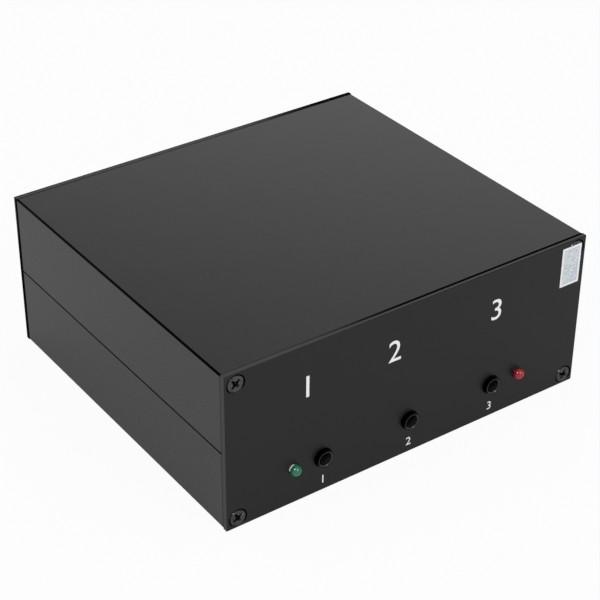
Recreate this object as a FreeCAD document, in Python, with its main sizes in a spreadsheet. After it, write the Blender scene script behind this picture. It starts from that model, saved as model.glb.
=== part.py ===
"""Coaxial antenna switch in a split extruded case, as a parametric document.

The case stands on the X-Y plane with the origin at the centre of its underside.
+X is to the right as seen from the front, +Y runs to the rear panel and +Z is up.
Every size is in millimetres and comes from the sheet called Sizes.
"""

import FreeCAD, Part
import math
import os

import Sketcher

# Driving dimensions: name, value, meaning
DIMENSIONS = [
    # case
    ("case_width", 110.0, "outside width of the case"),
    ("case_height", 44.5, "outside height of the case"),
    ("shell_length", 98.0, "length of the two extruded shells"),
    ("shell_wall", 1.8, "wall of the shells"),
    ("shell_edge", 0.5, "rounding of the long outer edges"),
    ("shell_end_bevel", 0.3, "bevel on the sawn ends of the shells"),
    ("seam_lip", 1.2, "height of the tongue that keys the shells together"),
    ("seam_clearance", 0.1, "play of the tongue in its rebate"),
    ("seam_bevel", 0.25, "bevel along the seam, seen as a thin groove"),
    ("panel_thickness", 1.5, "front and rear panel"),
    ("panel_bevel", 0.15, "broken edge round each panel's outer face"),
    # screw channels and the screws of the panels
    ("channel_side", 3.2, "screw centre from the side of the case"),
    ("channel_level", 2.8, "screw centre from the top or bottom of the case"),
    ("channel_radius", 1.5, "bore of the screw channels"),
    ("channel_wall", 0.8, "wall round a screw channel"),
    ("channel_slit", 1.0, "open slit along a screw channel"),
    ("screw_play", 0.05, "radial play of a screw in its channel and countersink"),
    ("sink_radius", 2.6, "mouth of a countersunk hole"),
    ("screw_hole", 1.6, "clearance hole for the M3 screws"),
    ("screw_rim", 0.15, "bevel round the rim of a countersunk head"),
    ("screw_below", 0.3, "head of a panel screw below the panel's face"),
    ("panel_screw_length", 8.0, "overall length of a panel screw"),
    ("screw_tip", 0.4, "bevel at the end of every screw"),
    ("recess_arm", 1.5, "half length of the cross recess"),
    ("recess_middle", 0.42, "half width of the recess's arms at its middle"),
    ("recess_end", 0.25, "half width of the arms at their ends"),
    ("recess_depth", 1.1, "depth of the cross recess"),
    # circuit board
    ("board_level", 5.3, "underside of the board above the case's underside"),
    ("board_thickness", 1.6, "circuit board"),
    ("board_play", 0.1, "play of the board in its slots, above and below"),
    ("board_side_gap", 0.3, "gap between the board and the side walls"),
    ("board_end_gap", 0.3, "gap between the board and the panels"),
    ("rib_thickness", 1.1, "ribs above and below the board slot"),
    ("rib_depth", 2.0, "how far the ribs stand in from the wall"),
    # audio jacks on the front
    ("jack_pitch", 26.5, "spacing of the three jacks"),
    ("jack_row", -0.5, "centre of the row of jacks from the case's centre line"),
    ("jack_axis", 3.1, "jack axis above the board"),
    ("jack_width", 9.2, "width of a jack housing"),
    ("jack_top", 3.3, "top of a jack housing above its axis"),
    ("jack_depth", 14.0, "depth of a jack housing behind the panel"),
    ("jack_nose", 2.5, "radius of the nose"),
    ("jack_stickout", 1.2, "how far the nose stands out of the panel"),
    ("jack_nose_bevel", 0.2, "bevel round the end of the nose"),
    ("jack_mouth", 0.2, "bevel at the mouth of the bore"),
    ("jack_bore", 1.8, "radius of the bore for a 3.5 mm plug"),
    ("jack_guide", 0.9, "how far the guiding bore reaches behind the panel"),
    ("jack_chamber", 2.2, "radius of the bore behind the guide"),
    ("jack_bore_depth", 11.6, "floor of the bore behind the panel"),
    ("jack_hole_play", 0.15, "play of the nose in the panel"),
    ("channel_near", 2.5, "inner side of a spring's slot in the housing"),
    ("channel_far", 4.1, "outer side of a spring's slot in the housing"),
    ("channel_start", 3.2, "front end of a spring's slot"),
    ("channel_end", 13.2, "rear end of a spring's slot"),
    ("channel_top", 1.4, "top of a spring's slot above the axis"),
    ("window_play", 0.3, "room for the bend of a spring in its window"),
    ("leaf_offset", 3.125, "pivot of a spring from the jack axis"),
    ("leaf_thickness", 0.25, "sheet of the jack contacts"),
    ("leaf_height", 2.2, "height of the spring blades"),
    ("leaf_tail", 0.5, "blade behind its root"),
    ("leaf_reach", 8.3, "blade in front of its root"),
    ("leaf_bend", 5.7, "bend of the blade from its root"),
    ("leaf_bend_half", 0.8, "half length of the bend"),
    ("leaf_crease", 0.06, "what the inner face of the bend is longer at each side"),
    ("leaf_crest", 0.3, "sheet measured across the tip of the bend"),
    ("contact_radius", 1.3, "tip of the bend from the jack axis"),
    ("tip_root", 4.3, "root of the tip spring behind the panel"),
    ("ring_root", 12.3, "root of the ring spring behind the panel"),
    ("leg_gap", 0.1, "end of a moving spring's leg above the board"),
    ("break_gap", 0.1, "break contact from the tip spring"),
    ("break_start", 11.6, "front end of the break contact"),
    ("break_length", 1.2, "length of the break contact"),
    ("sleeve_width", 1.2, "width of the sleeve contact"),
    ("sleeve_slot", 1.8, "width of the slot below the bore"),
    ("sleeve_start", 1.2, "front end of the sleeve contact"),
    ("sleeve_peak", 2.6, "crest of the sleeve contact behind the panel"),
    ("sleeve_end", 4.8, "rear end of the sleeve contact"),
    ("sleeve_contact", 1.72, "crest of the sleeve contact from the axis"),
    ("sleeve_sag", 0.5, "ends of the sleeve contact below its crest"),
    # indicator lamps
    ("led_spread", 35.2, "lamps from the centre of the row of jacks"),
    ("led_axis", 3.5, "lamp axis above the board"),
    ("led_radius", 1.5, "3 mm lamp"),
    ("led_stickout", 2.3, "how far a lamp stands out of the panel"),
    ("led_barrel", 4.3, "lamp from its tip to its collar"),
    ("led_collar", 1.9, "radius of the collar"),
    ("led_collar_length", 1.0, "thickness of the collar"),
    ("led_dome_flat", 0.05, "what the dome leaves flat at the tip"),
    ("led_hole_play", 0.1, "play of a lamp in the panel"),
    ("lead_pitch", 2.54, "spacing of the lamp leads"),
    ("lead_wire", 0.5, "thickness of the lamp leads"),
    ("lead_run", 3.0, "lead behind the lamp before it turns down"),
    # antenna and transceiver sockets
    ("antenna_margin", 4.3, "antenna socket's flange from the side of the case"),
    ("socket_flange", 25.4, "side of the square flange"),
    ("socket_flange_thickness", 2.0, "flange"),
    ("socket_corner", 2.0, "bevelled corners of the flange"),
    ("socket_hole_pitch", 18.2, "spacing of the flange holes"),
    ("socket_radius", 7.9375, "outside of the five-eighths inch thread"),
    ("socket_length", 11.0, "barrel in front of the flange"),
    ("socket_rim_bevel", 0.5, "bevel at the rim of the barrel"),
    ("socket_bore", 6.4, "inside of the barrel"),
    ("socket_floor", 3.5, "floor of the barrel above the panel"),
    ("socket_neck", 5.6, "neck through the panel"),
    ("socket_hole_play", 0.15, "play of the neck in the panel"),
    ("socket_neck_length", 4.0, "neck behind the panel's outer face"),
    ("socket_neck_bore", 4.2, "bore of the neck"),
    ("socket_notch_width", 1.6, "locating notches in the rim"),
    ("socket_notch_depth", 0.9, "depth of the locating notches"),
    ("socket_disc", 1.5, "insulator disc on the floor of the barrel"),
    ("fit_play", 0.05, "radial play of pieces pressed into each other"),
    ("contact_outer", 2.6, "outside of the centre contact"),
    ("contact_inner", 2.0, "bore of the centre contact, for a 4 mm pin"),
    ("contact_below_rim", 0.7, "end of the centre contact below the rim"),
    ("contact_bore_depth", 8.0, "depth of the centre contact's bore"),
    ("contact_slot", 0.5, "slots of the centre contact"),
    ("contact_slot_length", 6.0, "length of the slots"),
    ("contact_tail", 1.7, "tail of the centre contact"),
    ("contact_tail_length", 7.0, "tail behind the panel's outer face"),
    ("contact_step", 1.0, "where the tail begins above the panel"),
    ("cup_radius", 1.1, "solder cup in the tail"),
    ("cup_depth", 3.0, "depth of the solder cup"),
    ("socket_screw_length", 8.0, "screw below its head"),
    ("pan_head", 2.75, "radius of a pan head"),
    ("pan_head_height", 1.9, "height of a pan head"),
    ("pan_head_round", 0.7, "bevel round a pan head"),
    ("nut_flats", 5.5, "M3 nut across flats"),
    ("nut_thickness", 2.4, "M3 nut"),
    ("nut_bore", 1.5, "bore of the M3 nut"),
    ("lead_radius", 0.6, "wire from a centre contact to the board"),
    ("lead_grip", 1.0, "wire held in the solder cup"),
    ("lead_set_back", 3.6, "wire behind the tail before it drops"),
    ("lead_bend", 2.0, "bend of the wire"),
    # receiver socket
    ("receiver_axis", 4.2, "receiver socket above the board"),
    ("receiver_thread", 3.175, "outside of the quarter inch thread"),
    ("receiver_shank", 2.95, "barrel where it passes the panel and its nut"),
    ("receiver_length", 9.0, "barrel behind the rear panel"),
    ("receiver_bore", 2.3, "inside of the barrel"),
    ("receiver_floor", 2.0, "face of the insulator behind the rear panel"),
    ("receiver_block", 7.0, "side of the block on the board"),
    ("receiver_block_depth", 6.5, "depth of the block"),
    ("receiver_insulator", 2.05, "radius of the insulator"),
    ("receiver_pin", 0.635, "radius of the centre contact"),
    ("receiver_pin_bore", 0.47, "bore of the centre contact"),
    ("receiver_leg", 0.5, "radius of its leg down to the board"),
    ("receiver_tail", 1.9, "centre contact behind the block"),
    ("receiver_pin_depth", 3.0, "depth of that bore"),
    ("receiver_pin_end", 1.5, "end of the centre contact below the rim"),
    ("receiver_hole_play", 0.1, "play of the barrel in the panel"),
    ("washer_thickness", 0.6, "washer under the nut"),
    ("washer_radius", 4.9, "outside of the washer"),
    ("receiver_nut_flats", 8.0, "nut across flats"),
    ("receiver_nut_thickness", 2.0, "nut"),
    # keying socket
    ("keying_axis", 6.4, "keying socket above the board"),
    ("keying_width", 10.0, "width of the housing"),
    ("keying_depth", 10.0, "depth of the housing"),
    ("keying_top", 6.4, "top of the housing above its axis"),
    ("keying_shell", 4.15, "outside of the metal sleeve"),
    ("keying_shell_wall", 0.4, "wall of the metal sleeve"),
    ("keying_shell_step", 0.2, "sleeve drawn in where it passes the panel"),
    ("keying_shell_length", 8.5, "sleeve behind the rear panel"),
    ("keying_core_length", 8.0, "plastic core behind the rear panel"),
    ("keying_contact", 1.6, "bore of the centre contact"),
    ("keying_contact_wall", 0.35, "wall of the centre contact"),
    ("keying_contact_length", 9.0, "length of the centre contact"),
    ("keying_hole_play", 0.25, "play of the sleeve in the panel"),
    ("keying_shell_grip", 3.0, "sleeve held in the housing"),
    # power socket
    ("power_margin", 8.5, "power socket's housing from the side of the case"),
    ("power_axis", 6.5, "power socket above the board"),
    ("power_width", 9.0, "width of the housing"),
    ("power_top", 4.5, "top of the housing above its axis"),
    ("power_depth", 12.0, "depth of the housing"),
    ("power_nose", 4.0, "radius of the nose"),
    ("power_stickout", 0.5, "nose behind the rear panel"),
    ("power_bore", 3.0, "radius of the bore for a 5.5 mm plug"),
    ("power_bore_depth", 10.0, "depth of the bore"),
    ("power_pin", 1.05, "radius of the centre pin"),
    ("power_pin_below", 0.8, "end of the centre pin below the mouth"),
    ("power_pin_tip", 0.35, "bevel of the centre pin"),
    ("power_pin_grip", 1.8, "pin held in the rear wall"),
    ("power_pin_root", 1.4, "radius of the pin in the rear wall"),
    ("power_hole_play", 0.2, "play of the nose in the panel"),
    ("power_leaf_width", 2.4, "width of the sleeve spring"),
    ("power_leaf_slot", 3.0, "width of the slot for the sleeve spring"),
    ("power_leaf_thickness", 0.3, "sheet of the sleeve spring"),
    ("power_leaf_front", 4.0, "front end of the sleeve spring from the mouth"),
    ("power_leaf_length", 6.5, "length of the sleeve spring"),
    ("power_leaf_sag", 1.1, "ends of the sleeve spring below its crest"),
    ("power_leaf_crest", 2.85, "crest of the sleeve spring from the axis"),
    # relays
    ("antenna_relay_inset", 29.9, "antenna relay from the right edge of the board"),
    ("antenna_relay_set_back", 31.0, "antenna relay from the rear panel"),
    ("antenna_relay_length", 28.0, "antenna relay base"),
    ("antenna_relay_width", 12.4, "antenna relay base"),
    ("antenna_relay_height", 16.5, "antenna relay over its cover"),
    ("antenna_relay_pole", 11.0, "pole face above the board"),
    ("antenna_relay_coil", 4.4, "radius of the winding"),
    ("antenna_relay_core", -3.4, "core from the middle of the relay"),
    ("audio_relay_inset", 38.9, "audio relay from the left edge of the board"),
    ("audio_relay_set_back", 33.0, "audio relay from the front panel"),
    ("audio_relay_length", 21.0, "audio relay base"),
    ("audio_relay_width", 10.0, "audio relay base"),
    ("audio_relay_height", 12.6, "audio relay over its cover"),
    ("audio_relay_pole", 7.6, "pole face above the board"),
    ("audio_relay_coil", 3.2, "radius of the winding"),
    ("audio_relay_core", -2.8, "core from the middle of the relay"),
    ("relay_base", 2.0, "thickness of a relay base"),
    ("relay_cover_wall", 0.6, "wall of a relay cover"),
    ("relay_cover_play", 0.1, "play of a cover on its base"),
    ("relay_cover_lift", 0.3, "lower edge of a cover above the board"),
    ("yoke_inset", 1.6, "yoke from the end of the base"),
    ("yoke_thickness", 1.2, "yoke"),
    ("yoke_side", 2.0, "base beside the yoke"),
    ("core_radius", 1.5, "iron core"),
    ("pole_radius", 2.6, "pole piece"),
    ("pole_thickness", 0.8, "pole piece"),
    ("bobbin_wall", 0.5, "tube and flanges of a bobbin"),
    ("bobbin_rim", 0.3, "flange beyond the winding"),
    ("armature_thickness", 1.0, "armature"),
    ("armature_angle", 4.0, "swing of an armature in degrees"),
    ("armature_gap", 0.05, "armature above the yoke and the pole when closed"),
    ("armature_tail", 1.0, "armature behind the yoke"),
    ("armature_overhang", 0.8, "armature beyond the pole piece"),
    ("blade_thickness", 0.2, "moving contact blade"),
    ("blade_width", 3.0, "moving contact blade"),
    ("blade_start", 3.0, "blade behind the armature's pivot"),
    ("rivet_radius", 0.9, "contact rivets"),
    ("rivet_height", 0.4, "contact rivets above their strip"),
    ("rivet_margin", 0.4, "strip beyond a contact rivet"),
    ("contact_inset", 4.4, "contact rivets from the end of the base"),
    ("contact_gap", 0.08, "closed contacts stay this far apart"),
    ("terminal_thickness", 0.5, "fixed contact strips"),
    ("make_inset", 2.4, "make contact's post from the end of the base"),
    ("break_inset", 1.2, "break contact's post from the end of the base"),
    # components on the board
    ("capacitor_radius", 4.0, "smoothing capacitors"),
    ("capacitor_height", 12.0, "smoothing capacitors"),
    ("capacitor_round", 0.6, "rolled edge of a capacitor can"),
    ("capacitor_pitch", 10.0, "spacing of the smoothing capacitors"),
    ("capacitor_inset", 10.9, "smoothing capacitors from the left edge of the board"),
    ("capacitor_set_back", 29.0, "first smoothing capacitor from the rear panel"),
    ("regulator_inset", 24.9, "voltage regulator from the left edge of the board"),
    ("regulator_set_back", 33.0, "voltage regulator from the rear panel"),
    ("regulator_width", 10.0, "voltage regulator"),
    ("regulator_body", 9.0, "height of the regulator's body"),
    ("regulator_thickness", 4.4, "thickness of the regulator's body"),
    ("regulator_tab", 1.3, "thickness of the regulator's tab"),
    ("regulator_tab_height", 6.4, "tab above the body"),
    ("regulator_tab_hole", 1.8, "radius of the hole in the tab"),
    ("regulator_leg", 4.0, "legs between the body and the board"),
    ("regulator_leg_width", 0.8, "width of a leg"),
    ("regulator_leg_pitch", 2.54, "spacing of the legs"),
    ("transistor_radius", 2.3, "driver transistors"),
    ("transistor_height", 4.6, "driver transistors"),
    ("transistor_lift", 2.0, "driver transistors above the board"),
    ("transistor_pitch", 8.0, "spacing of the driver transistors"),
    ("transistor_side", 6.0, "first driver transistor from the centre line"),
    ("transistor_set_back", 35.0, "driver transistors from the front panel"),
    ("transistor_flat", 1.15, "flat of a transistor from its axis"),
    ("resistor_radius", 1.2, "resistors"),
    ("resistor_length", 6.5, "resistors"),
    ("resistor_wire", 0.3, "radius of the resistor leads"),
    ("resistor_span", 10.0, "spacing of a resistor's leads"),
    ("resistor_lift", 1.8, "resistor axis above the board"),
    ("resistor_pitch", 5.0, "spacing of the resistors"),
    ("resistor_inset", 24.9, "resistors from the right edge of the board"),
    ("resistor_clearance", 5.0, "first resistor from the jack housings"),
]


class Size:
    """A length that keeps its value now and the sheet expression it comes from."""

    def __init__(self, value, text):
        self.value = value
        self.text = text

    def __add__(self, other):
        other = as_size(other)
        return Size(self.value + other.value, f"({self.text} + {other.text})")

    def __sub__(self, other):
        other = as_size(other)
        return Size(self.value - other.value, f"({self.text} - {other.text})")

    def __mul__(self, other):
        other = as_size(other)
        return Size(self.value * other.value, f"{self.text} * {other.text}")

    def __truediv__(self, other):
        other = as_size(other)
        return Size(self.value / other.value, f"({self.text} / {other.text})")

    def __rsub__(self, other):
        return as_size(other) - self

    def __neg__(self):
        return Size(-self.value, f"(-1 * {self.text})")

    __radd__ = __add__
    __rmul__ = __mul__


def as_size(item):
    """A plain number as a Size, or the Size itself."""
    return item if isinstance(item, Size) else Size(float(item), f"({float(item)})")


def sine(angle):
    """Sine of an angle that the sheet gives in degrees."""
    return Size(math.sin(math.radians(angle.value)), f"sin({angle.text} * 1 deg)")


class Sheet:
    """The spreadsheet of driving dimensions, read as sheet.name."""

    def __init__(self, document, rows):
        self.cells = document.addObject("Spreadsheet::Sheet", "Sizes")
        self.values = {}
        for line, (name, value, meaning) in enumerate(rows, start=1):
            self.cells.set(f"A{line}", name)
            self.cells.set(f"B{line}", str(value))
            self.cells.set(f"C{line}", meaning)
            self.cells.setAlias(f"B{line}", name)
            self.values[name] = value

    def __getattr__(self, name):
        return Size(self.values[name], f"Sizes.{name}")

    def get(self, name):
        """The size with a name that is put together from two words."""
        return getattr(self, name)


doc = FreeCAD.newDocument("antenna_switch")
size = Sheet(doc, DIMENSIONS)
doc.recompute()

sub_parts = []


# ---------------------------------------------------------------- drawing tools

# the axis that a plane's normal points along, and its sign
NORMAL_SIGN = {"XY_Plane": 1, "XZ_Plane": -1, "YZ_Plane": 1}


def origin_plane(body, role):
    """One of the body's own origin planes."""
    return next(item for item in body.Origin.OriginFeatures if item.Role == role)


def bind(item, path, value):
    """Tie a property of an object to the sheet."""
    item.setExpression(path, as_size(value).text)


class Profile:
    """A sketch on one of a body's planes, at a level along the plane's axis."""

    def __init__(self, body, role, level=0):
        self.sketch = body.newObject("Sketcher::SketchObject", body.Name + "_sketch")
        self.sketch.AttachmentSupport = [(origin_plane(body, role), "")]
        self.sketch.MapMode = "FlatFace"
        shift = as_size(level) * NORMAL_SIGN[role]
        self.sketch.AttachmentOffset = FreeCAD.Placement(
            FreeCAD.Vector(0, 0, shift.value), FreeCAD.Rotation()
        )
        bind(self.sketch, "AttachmentOffset.Base.z", shift)

    def pin(self, geometry, point, across, up):
        """Hold a point of the drawing at a place worked out from the sheet."""
        for kind, value in (("DistanceX", as_size(across)), ("DistanceY", as_size(up))):
            rule = Sketcher.Constraint(kind, -1, 1, geometry, point, value.value)
            number = self.sketch.addConstraint(rule)
            bind(self.sketch, f"Constraints[{number}]", value)

    def outline(self, points):
        """A closed outline of straight lines through the points."""
        places = [
            FreeCAD.Vector(as_size(x).value, as_size(y).value, 0) for x, y in points
        ]
        count = len(places)
        first = self.sketch.GeometryCount
        for step in range(count):
            line = Part.LineSegment(places[step], places[(step + 1) % count])
            self.sketch.addGeometry(line)
        for step, (x, y) in enumerate(points):
            following = first + (step + 1) % count
            self.sketch.addConstraint(
                Sketcher.Constraint("Coincident", first + step, 2, following, 1)
            )
            self.pin(first + step, 1, x, y)
        return self

    def box(self, left, low, right, high):
        """A rectangle."""
        return self.outline([(left, low), (right, low), (right, high), (left, high)])

    def circle(self, across, up, radius):
        """A circle."""
        radius = as_size(radius)
        centre = FreeCAD.Vector(as_size(across).value, as_size(up).value, 0)
        number = self.sketch.addGeometry(
            Part.Circle(centre, FreeCAD.Vector(0, 0, 1), radius.value)
        )
        self.pin(number, 3, across, up)
        rule = self.sketch.addConstraint(
            Sketcher.Constraint("Radius", number, radius.value)
        )
        bind(self.sketch, f"Constraints[{rule}]", radius)
        return self

    def hexagon(self, across, up, flats):
        """A hexagon with two flats parallel to the sketch's upright axis."""
        corner = flats / math.sqrt(3)
        return self.outline(
            [
                (across, up - corner),
                (across + flats / 2, up - corner / 2),
                (across + flats / 2, up + corner / 2),
                (across, up + corner),
                (across - flats / 2, up + corner / 2),
                (across - flats / 2, up - corner / 2),
            ]
        )


class Piece:
    """One sub-part: a body whose features are added one after another."""

    def __init__(self, name, keep=True):
        self.body = doc.addObject("PartDesign::Body", name)
        self.body.Label = name
        if keep:
            sub_parts.append(self.body)

    def feature(self, kind, profile, **settings):
        """Add a sketch-based feature and make sure that it changed the solid."""
        before = self.body.Shape.Volume if self.body.Tip else 0.0
        made = self.body.newObject("PartDesign::" + kind, self.body.Name + "_" + kind)
        made.Profile = profile.sketch
        for name, value in settings.items():
            if isinstance(value, Size):
                setattr(made, name, value.value)
                bind(made, name, value)
            else:
                setattr(made, name, value)
        profile.sketch.Visibility = False
        doc.recompute()
        grows = kind in ("Pad", "Revolution", "AdditivePipe")
        change = self.body.Shape.Volume - before
        if (change <= 0) if grows else (change >= 0):
            raise ValueError(f"{made.Name} of {self.body.Label} changed nothing")
        return made

    def add(self, role, low, high, draw):
        """Pad a drawing between two levels along the plane's axis."""
        level = low if NORMAL_SIGN[role] > 0 else high
        profile = draw(Profile(self.body, role, level))
        self.feature("Pad", profile, Length=as_size(high) - low)
        return self

    def cut(self, role, low, high, draw):
        """Pocket a drawing between two levels along the plane's axis."""
        level = high if NORMAL_SIGN[role] > 0 else low
        profile = draw(Profile(self.body, role, level))
        self.feature("Pocket", profile, Length=as_size(high) - low)
        return self

    def turn(self, role, points):
        """Revolve an outline about the sketch's upright axis."""
        profile = Profile(self.body, role).outline(points)
        self.feature(
            "Revolution", profile, ReferenceAxis=(profile.sketch, ["V_Axis"])
        )
        return self

    def bore(self, role, points):
        """Cut away an outline revolved about the sketch's upright axis."""
        profile = Profile(self.body, role).outline(points)
        self.feature("Groove", profile, ReferenceAxis=(profile.sketch, ["V_Axis"]))
        return self

    def dress(self, kind, value, wanted):
        """Fillet or chamfer the edges that the test picks out."""
        solid = self.body.Shape
        inverse = self.body.Placement.inverse()
        names = [
            f"Edge{number}"
            for number, edge in enumerate(solid.Edges, start=1)
            if wanted(edge.transformed(inverse.Matrix))
        ]
        last = self.body.Tip
        made = self.body.newObject("PartDesign::" + kind, self.body.Name + "_" + kind)
        made.Base = (last, names)
        target = "Radius" if kind == "Fillet" else "Size"
        setattr(made, target, as_size(value).value)
        bind(made, target, value)
        doc.recompute()
        return self

    def mirror(self, role):
        """Mirror all that has been made so far in one of the origin planes."""
        made = self.body.newObject("PartDesign::Mirrored", self.body.Name + "_mirror")
        made.Originals = [
            item
            for item in self.body.Group
            if item.isDerivedFrom("PartDesign::FeatureAddSub")
        ]
        made.MirrorPlane = (origin_plane(self.body, role), [""])
        self.body.Tip = made
        doc.recompute()
        return self

    def place(self, across, along, level, *turns):
        """Put the piece where it belongs in the case."""
        set_place(self.body, across, along, level, *turns)
        return self


def set_place(item, across, along, level, *turns):
    """Place an object by the sheet; each turn is an axis and an angle in degrees.

    The last turn is made first, in the object's own frame.
    """
    spots = [as_size(value) for value in (across, along, level)]
    rotation = FreeCAD.Rotation()
    for turn in turns:
        rotation = rotation * FreeCAD.Rotation(*turn)
    item.Placement = FreeCAD.Placement(
        FreeCAD.Vector(*[spot.value for spot in spots]), rotation
    )
    for letter, spot in zip("xyz", spots):
        bind(item, f"Placement.Base.{letter}", spot)


def group(name, piece, places):
    """One node that holds the same piece at several places."""
    links = []
    for place in places:
        link = doc.addObject("App::Link", name + "_item")
        link.setLink(piece.body)
        set_place(link, *place)
        links.append(link)
    collect(name, links)


def collect(name, items):
    """One node that holds several separate solids."""
    node = doc.addObject("Part::Compound", name)
    node.Label = name
    node.Links = items
    sub_parts.append(node)


def along(edge, axis):
    """True for a straight edge that runs along an axis, given as x, y or z."""
    if len(edge.Vertexes) != 2 or edge.Curve.TypeId != "Part::GeomLine":
        return False
    run = edge.Vertexes[1].Point - edge.Vertexes[0].Point
    return abs(abs(getattr(run, axis)) - run.Length) < 1e-6


def near(value, target):
    """True when a measured value is the wanted one."""
    return abs(value - as_size(target).value) < 1e-4


# ---------------------------------------------------------------- shared places

Y_AXIS = FreeCAD.Vector(0, 1, 0)
Z_AXIS = FreeCAD.Vector(0, 0, 1)

half_width = size.case_width / 2
half_length = size.shell_length / 2
seam_level = size.case_height / 2
front_inside = -half_length
front_outside = front_inside - size.panel_thickness
rear_inside = half_length
rear_outside = rear_inside + size.panel_thickness

screw_across = half_width - size.channel_side
screw_levels = (size.channel_level, size.case_height - size.channel_level)

board_top = size.board_level + size.board_thickness
jack_level = board_top + size.jack_axis
led_level = board_top + size.led_axis
socket_level = seam_level
receiver_level = board_top + size.receiver_axis
keying_level = board_top + size.keying_axis
power_level = board_top + size.power_axis

jack_places = {
    "left": size.jack_row - size.jack_pitch,
    "centre": size.jack_row,
    "right": size.jack_row + size.jack_pitch,
}
led_places = {
    "green": size.jack_row - size.led_spread,
    "red": size.jack_row + size.led_spread,
}

# the sockets share out the rear panel from left to right, with equal gaps
rear_widths = {
    "power": size.power_width,
    "keying": size.keying_width,
    "receiver": size.washer_radius * 2,
    "transceiver": size.socket_flange,
    "antenna": size.socket_flange,
}
free_width = size.case_width - size.power_margin - size.antenna_margin
for width in rear_widths.values():
    free_width = free_width - width
rear_gap = free_width / (len(rear_widths) - 1)
rear_places = {}
left_edge = size.power_margin - half_width
for name, width in rear_widths.items():
    rear_places[name] = left_edge + width / 2
    left_edge = left_edge + width + rear_gap
socket_places = {name: rear_places[name] for name in ("antenna", "transceiver")}
flange_holes = [
    (size.socket_hole_pitch / 2 * side, size.socket_hole_pitch / 2 * level)
    for side in (-1, 1)
    for level in (-1, 1)
]


# ---------------------------------------------------------------- case


def shell(name):
    """Half of the case: one extrusion, made as the lower half.

    The left wall carries the tongue and the right wall the rebate, so that a
    second length of the same extrusion, turned half way round, keys into it.
    """
    wall = size.shell_wall
    inside = half_width - wall
    middle = half_width - wall / 2
    slot_low = size.board_level - size.board_play
    slot_high = board_top + size.board_play
    ribs = [
        (inside, slot_high + size.rib_thickness),
        (inside - size.rib_depth, slot_high + size.rib_thickness),
        (inside - size.rib_depth, slot_high),
        (inside, slot_high),
        (inside, slot_low),
        (inside - size.rib_depth, slot_low),
        (inside - size.rib_depth, slot_low - size.rib_thickness),
        (inside, slot_low - size.rib_thickness),
        (inside, wall),
    ]
    rebate = seam_level - size.seam_lip - size.seam_clearance
    tongue = middle - size.seam_clearance
    right_side = [
        (half_width, seam_level - size.seam_bevel),
        (half_width - size.seam_bevel, seam_level),
        (middle, seam_level),
        (middle, rebate),
        (inside, rebate),
    ]
    left_side = [
        (-inside, seam_level + size.seam_lip),
        (-tongue, seam_level + size.seam_lip),
        (-tongue, seam_level),
        (size.seam_bevel - half_width, seam_level),
        (-half_width, seam_level - size.seam_bevel),
    ]
    outline = [(-half_width, 0), (half_width, 0)] + right_side + ribs
    outline += [(-across, up) for across, up in reversed(ribs)] + left_side

    piece = Piece(name)
    ends = (-half_length, half_length)
    piece.add("XZ_Plane", *ends, lambda draw: draw.outline(outline))
    boss = size.channel_radius + size.channel_wall
    level = size.channel_level
    piece.add(
        "XZ_Plane",
        *ends,
        lambda draw: draw.circle(-screw_across, level, boss).circle(
            screw_across, level, boss
        ),
    )
    half_slit = size.channel_slit / 2
    slit_end = screw_across - boss - size.channel_wall
    for side in (-1, 1):
        piece.cut(
            "XZ_Plane",
            *ends,
            lambda draw: draw.circle(screw_across * side, level, size.channel_radius),
        )
        piece.cut(
            "XZ_Plane",
            *ends,
            lambda draw: draw.box(
                slit_end * side,
                level - half_slit,
                screw_across * side,
                level + half_slit,
            ),
        )
    piece.dress(
        "Fillet",
        size.shell_edge,
        lambda edge: along(edge, "y")
        and near(edge.BoundBox.ZMax, 0)
        and near(abs(edge.BoundBox.XMax), half_width),
    )
    piece.dress("Chamfer", size.shell_end_bevel, on_shell_end)
    return piece


def on_shell_end(edge):
    """True for the edges round the outside of a shell's sawn ends."""
    box = edge.BoundBox
    if not (near(box.YMin, box.YMax) and near(abs(box.YMax), half_length)):
        return False
    underside = near(box.ZMax, 0) and near(box.ZMin, 0)
    side = near(box.XMin, box.XMax) and near(abs(box.XMax), half_width)
    corner = edge.Curve.TypeId == "Part::GeomCircle" and near(
        edge.Curve.Radius, size.shell_edge
    )
    return underside or side or corner


shell("lower_shell")
shell("upper_shell").place(0, 0, size.case_height, (Y_AXIS, 180))


def panel(name, holes):
    """A flat panel, made with its outer face at y = 0 and its inner face behind it.

    holes is a list of (across, level, radius).
    """
    piece = Piece(name)
    piece.add(
        "XZ_Plane",
        0,
        size.panel_thickness,
        lambda draw: draw.box(-half_width, 0, half_width, size.case_height),
    )
    piece.dress(
        "Chamfer", size.panel_bevel, lambda edge: near(edge.BoundBox.YMax, 0)
    )
    screws = Profile(piece.body, "XZ_Plane", 0)
    for side in (-1, 1):
        for level in screw_levels:
            screws.circle(screw_across * side, level, size.screw_hole)
    doc.recompute()
    countersunk = piece.body.newObject("PartDesign::Hole", name + "_countersunk")
    countersunk.Profile = screws.sketch
    doc.recompute()
    countersunk.Threaded = False
    countersunk.DepthType = "ThroughAll"
    countersunk.Diameter = (size.screw_hole * 2).value
    bind(countersunk, "Diameter", size.screw_hole * 2)
    countersunk.HoleCutType = "Countersink"
    countersunk.HoleCutCustomValues = True
    countersunk.HoleCutCountersinkAngle = 90
    countersunk.HoleCutDiameter = (size.sink_radius * 2).value
    bind(countersunk, "HoleCutDiameter", size.sink_radius * 2)
    doc.recompute()
    round_holes = Profile(piece.body, "XZ_Plane", 0)
    for across, level, radius in holes:
        round_holes.circle(across, level, radius)
    piece.feature("Pocket", round_holes, Length=size.panel_thickness)
    return piece


front_holes = [
    (across, jack_level, size.jack_nose + size.jack_hole_play)
    for across in jack_places.values()
]
front_holes += [
    (across, led_level, size.led_radius + size.led_hole_play)
    for across in led_places.values()
]
panel("front_panel", front_holes).place(0, front_outside, 0)

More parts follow.
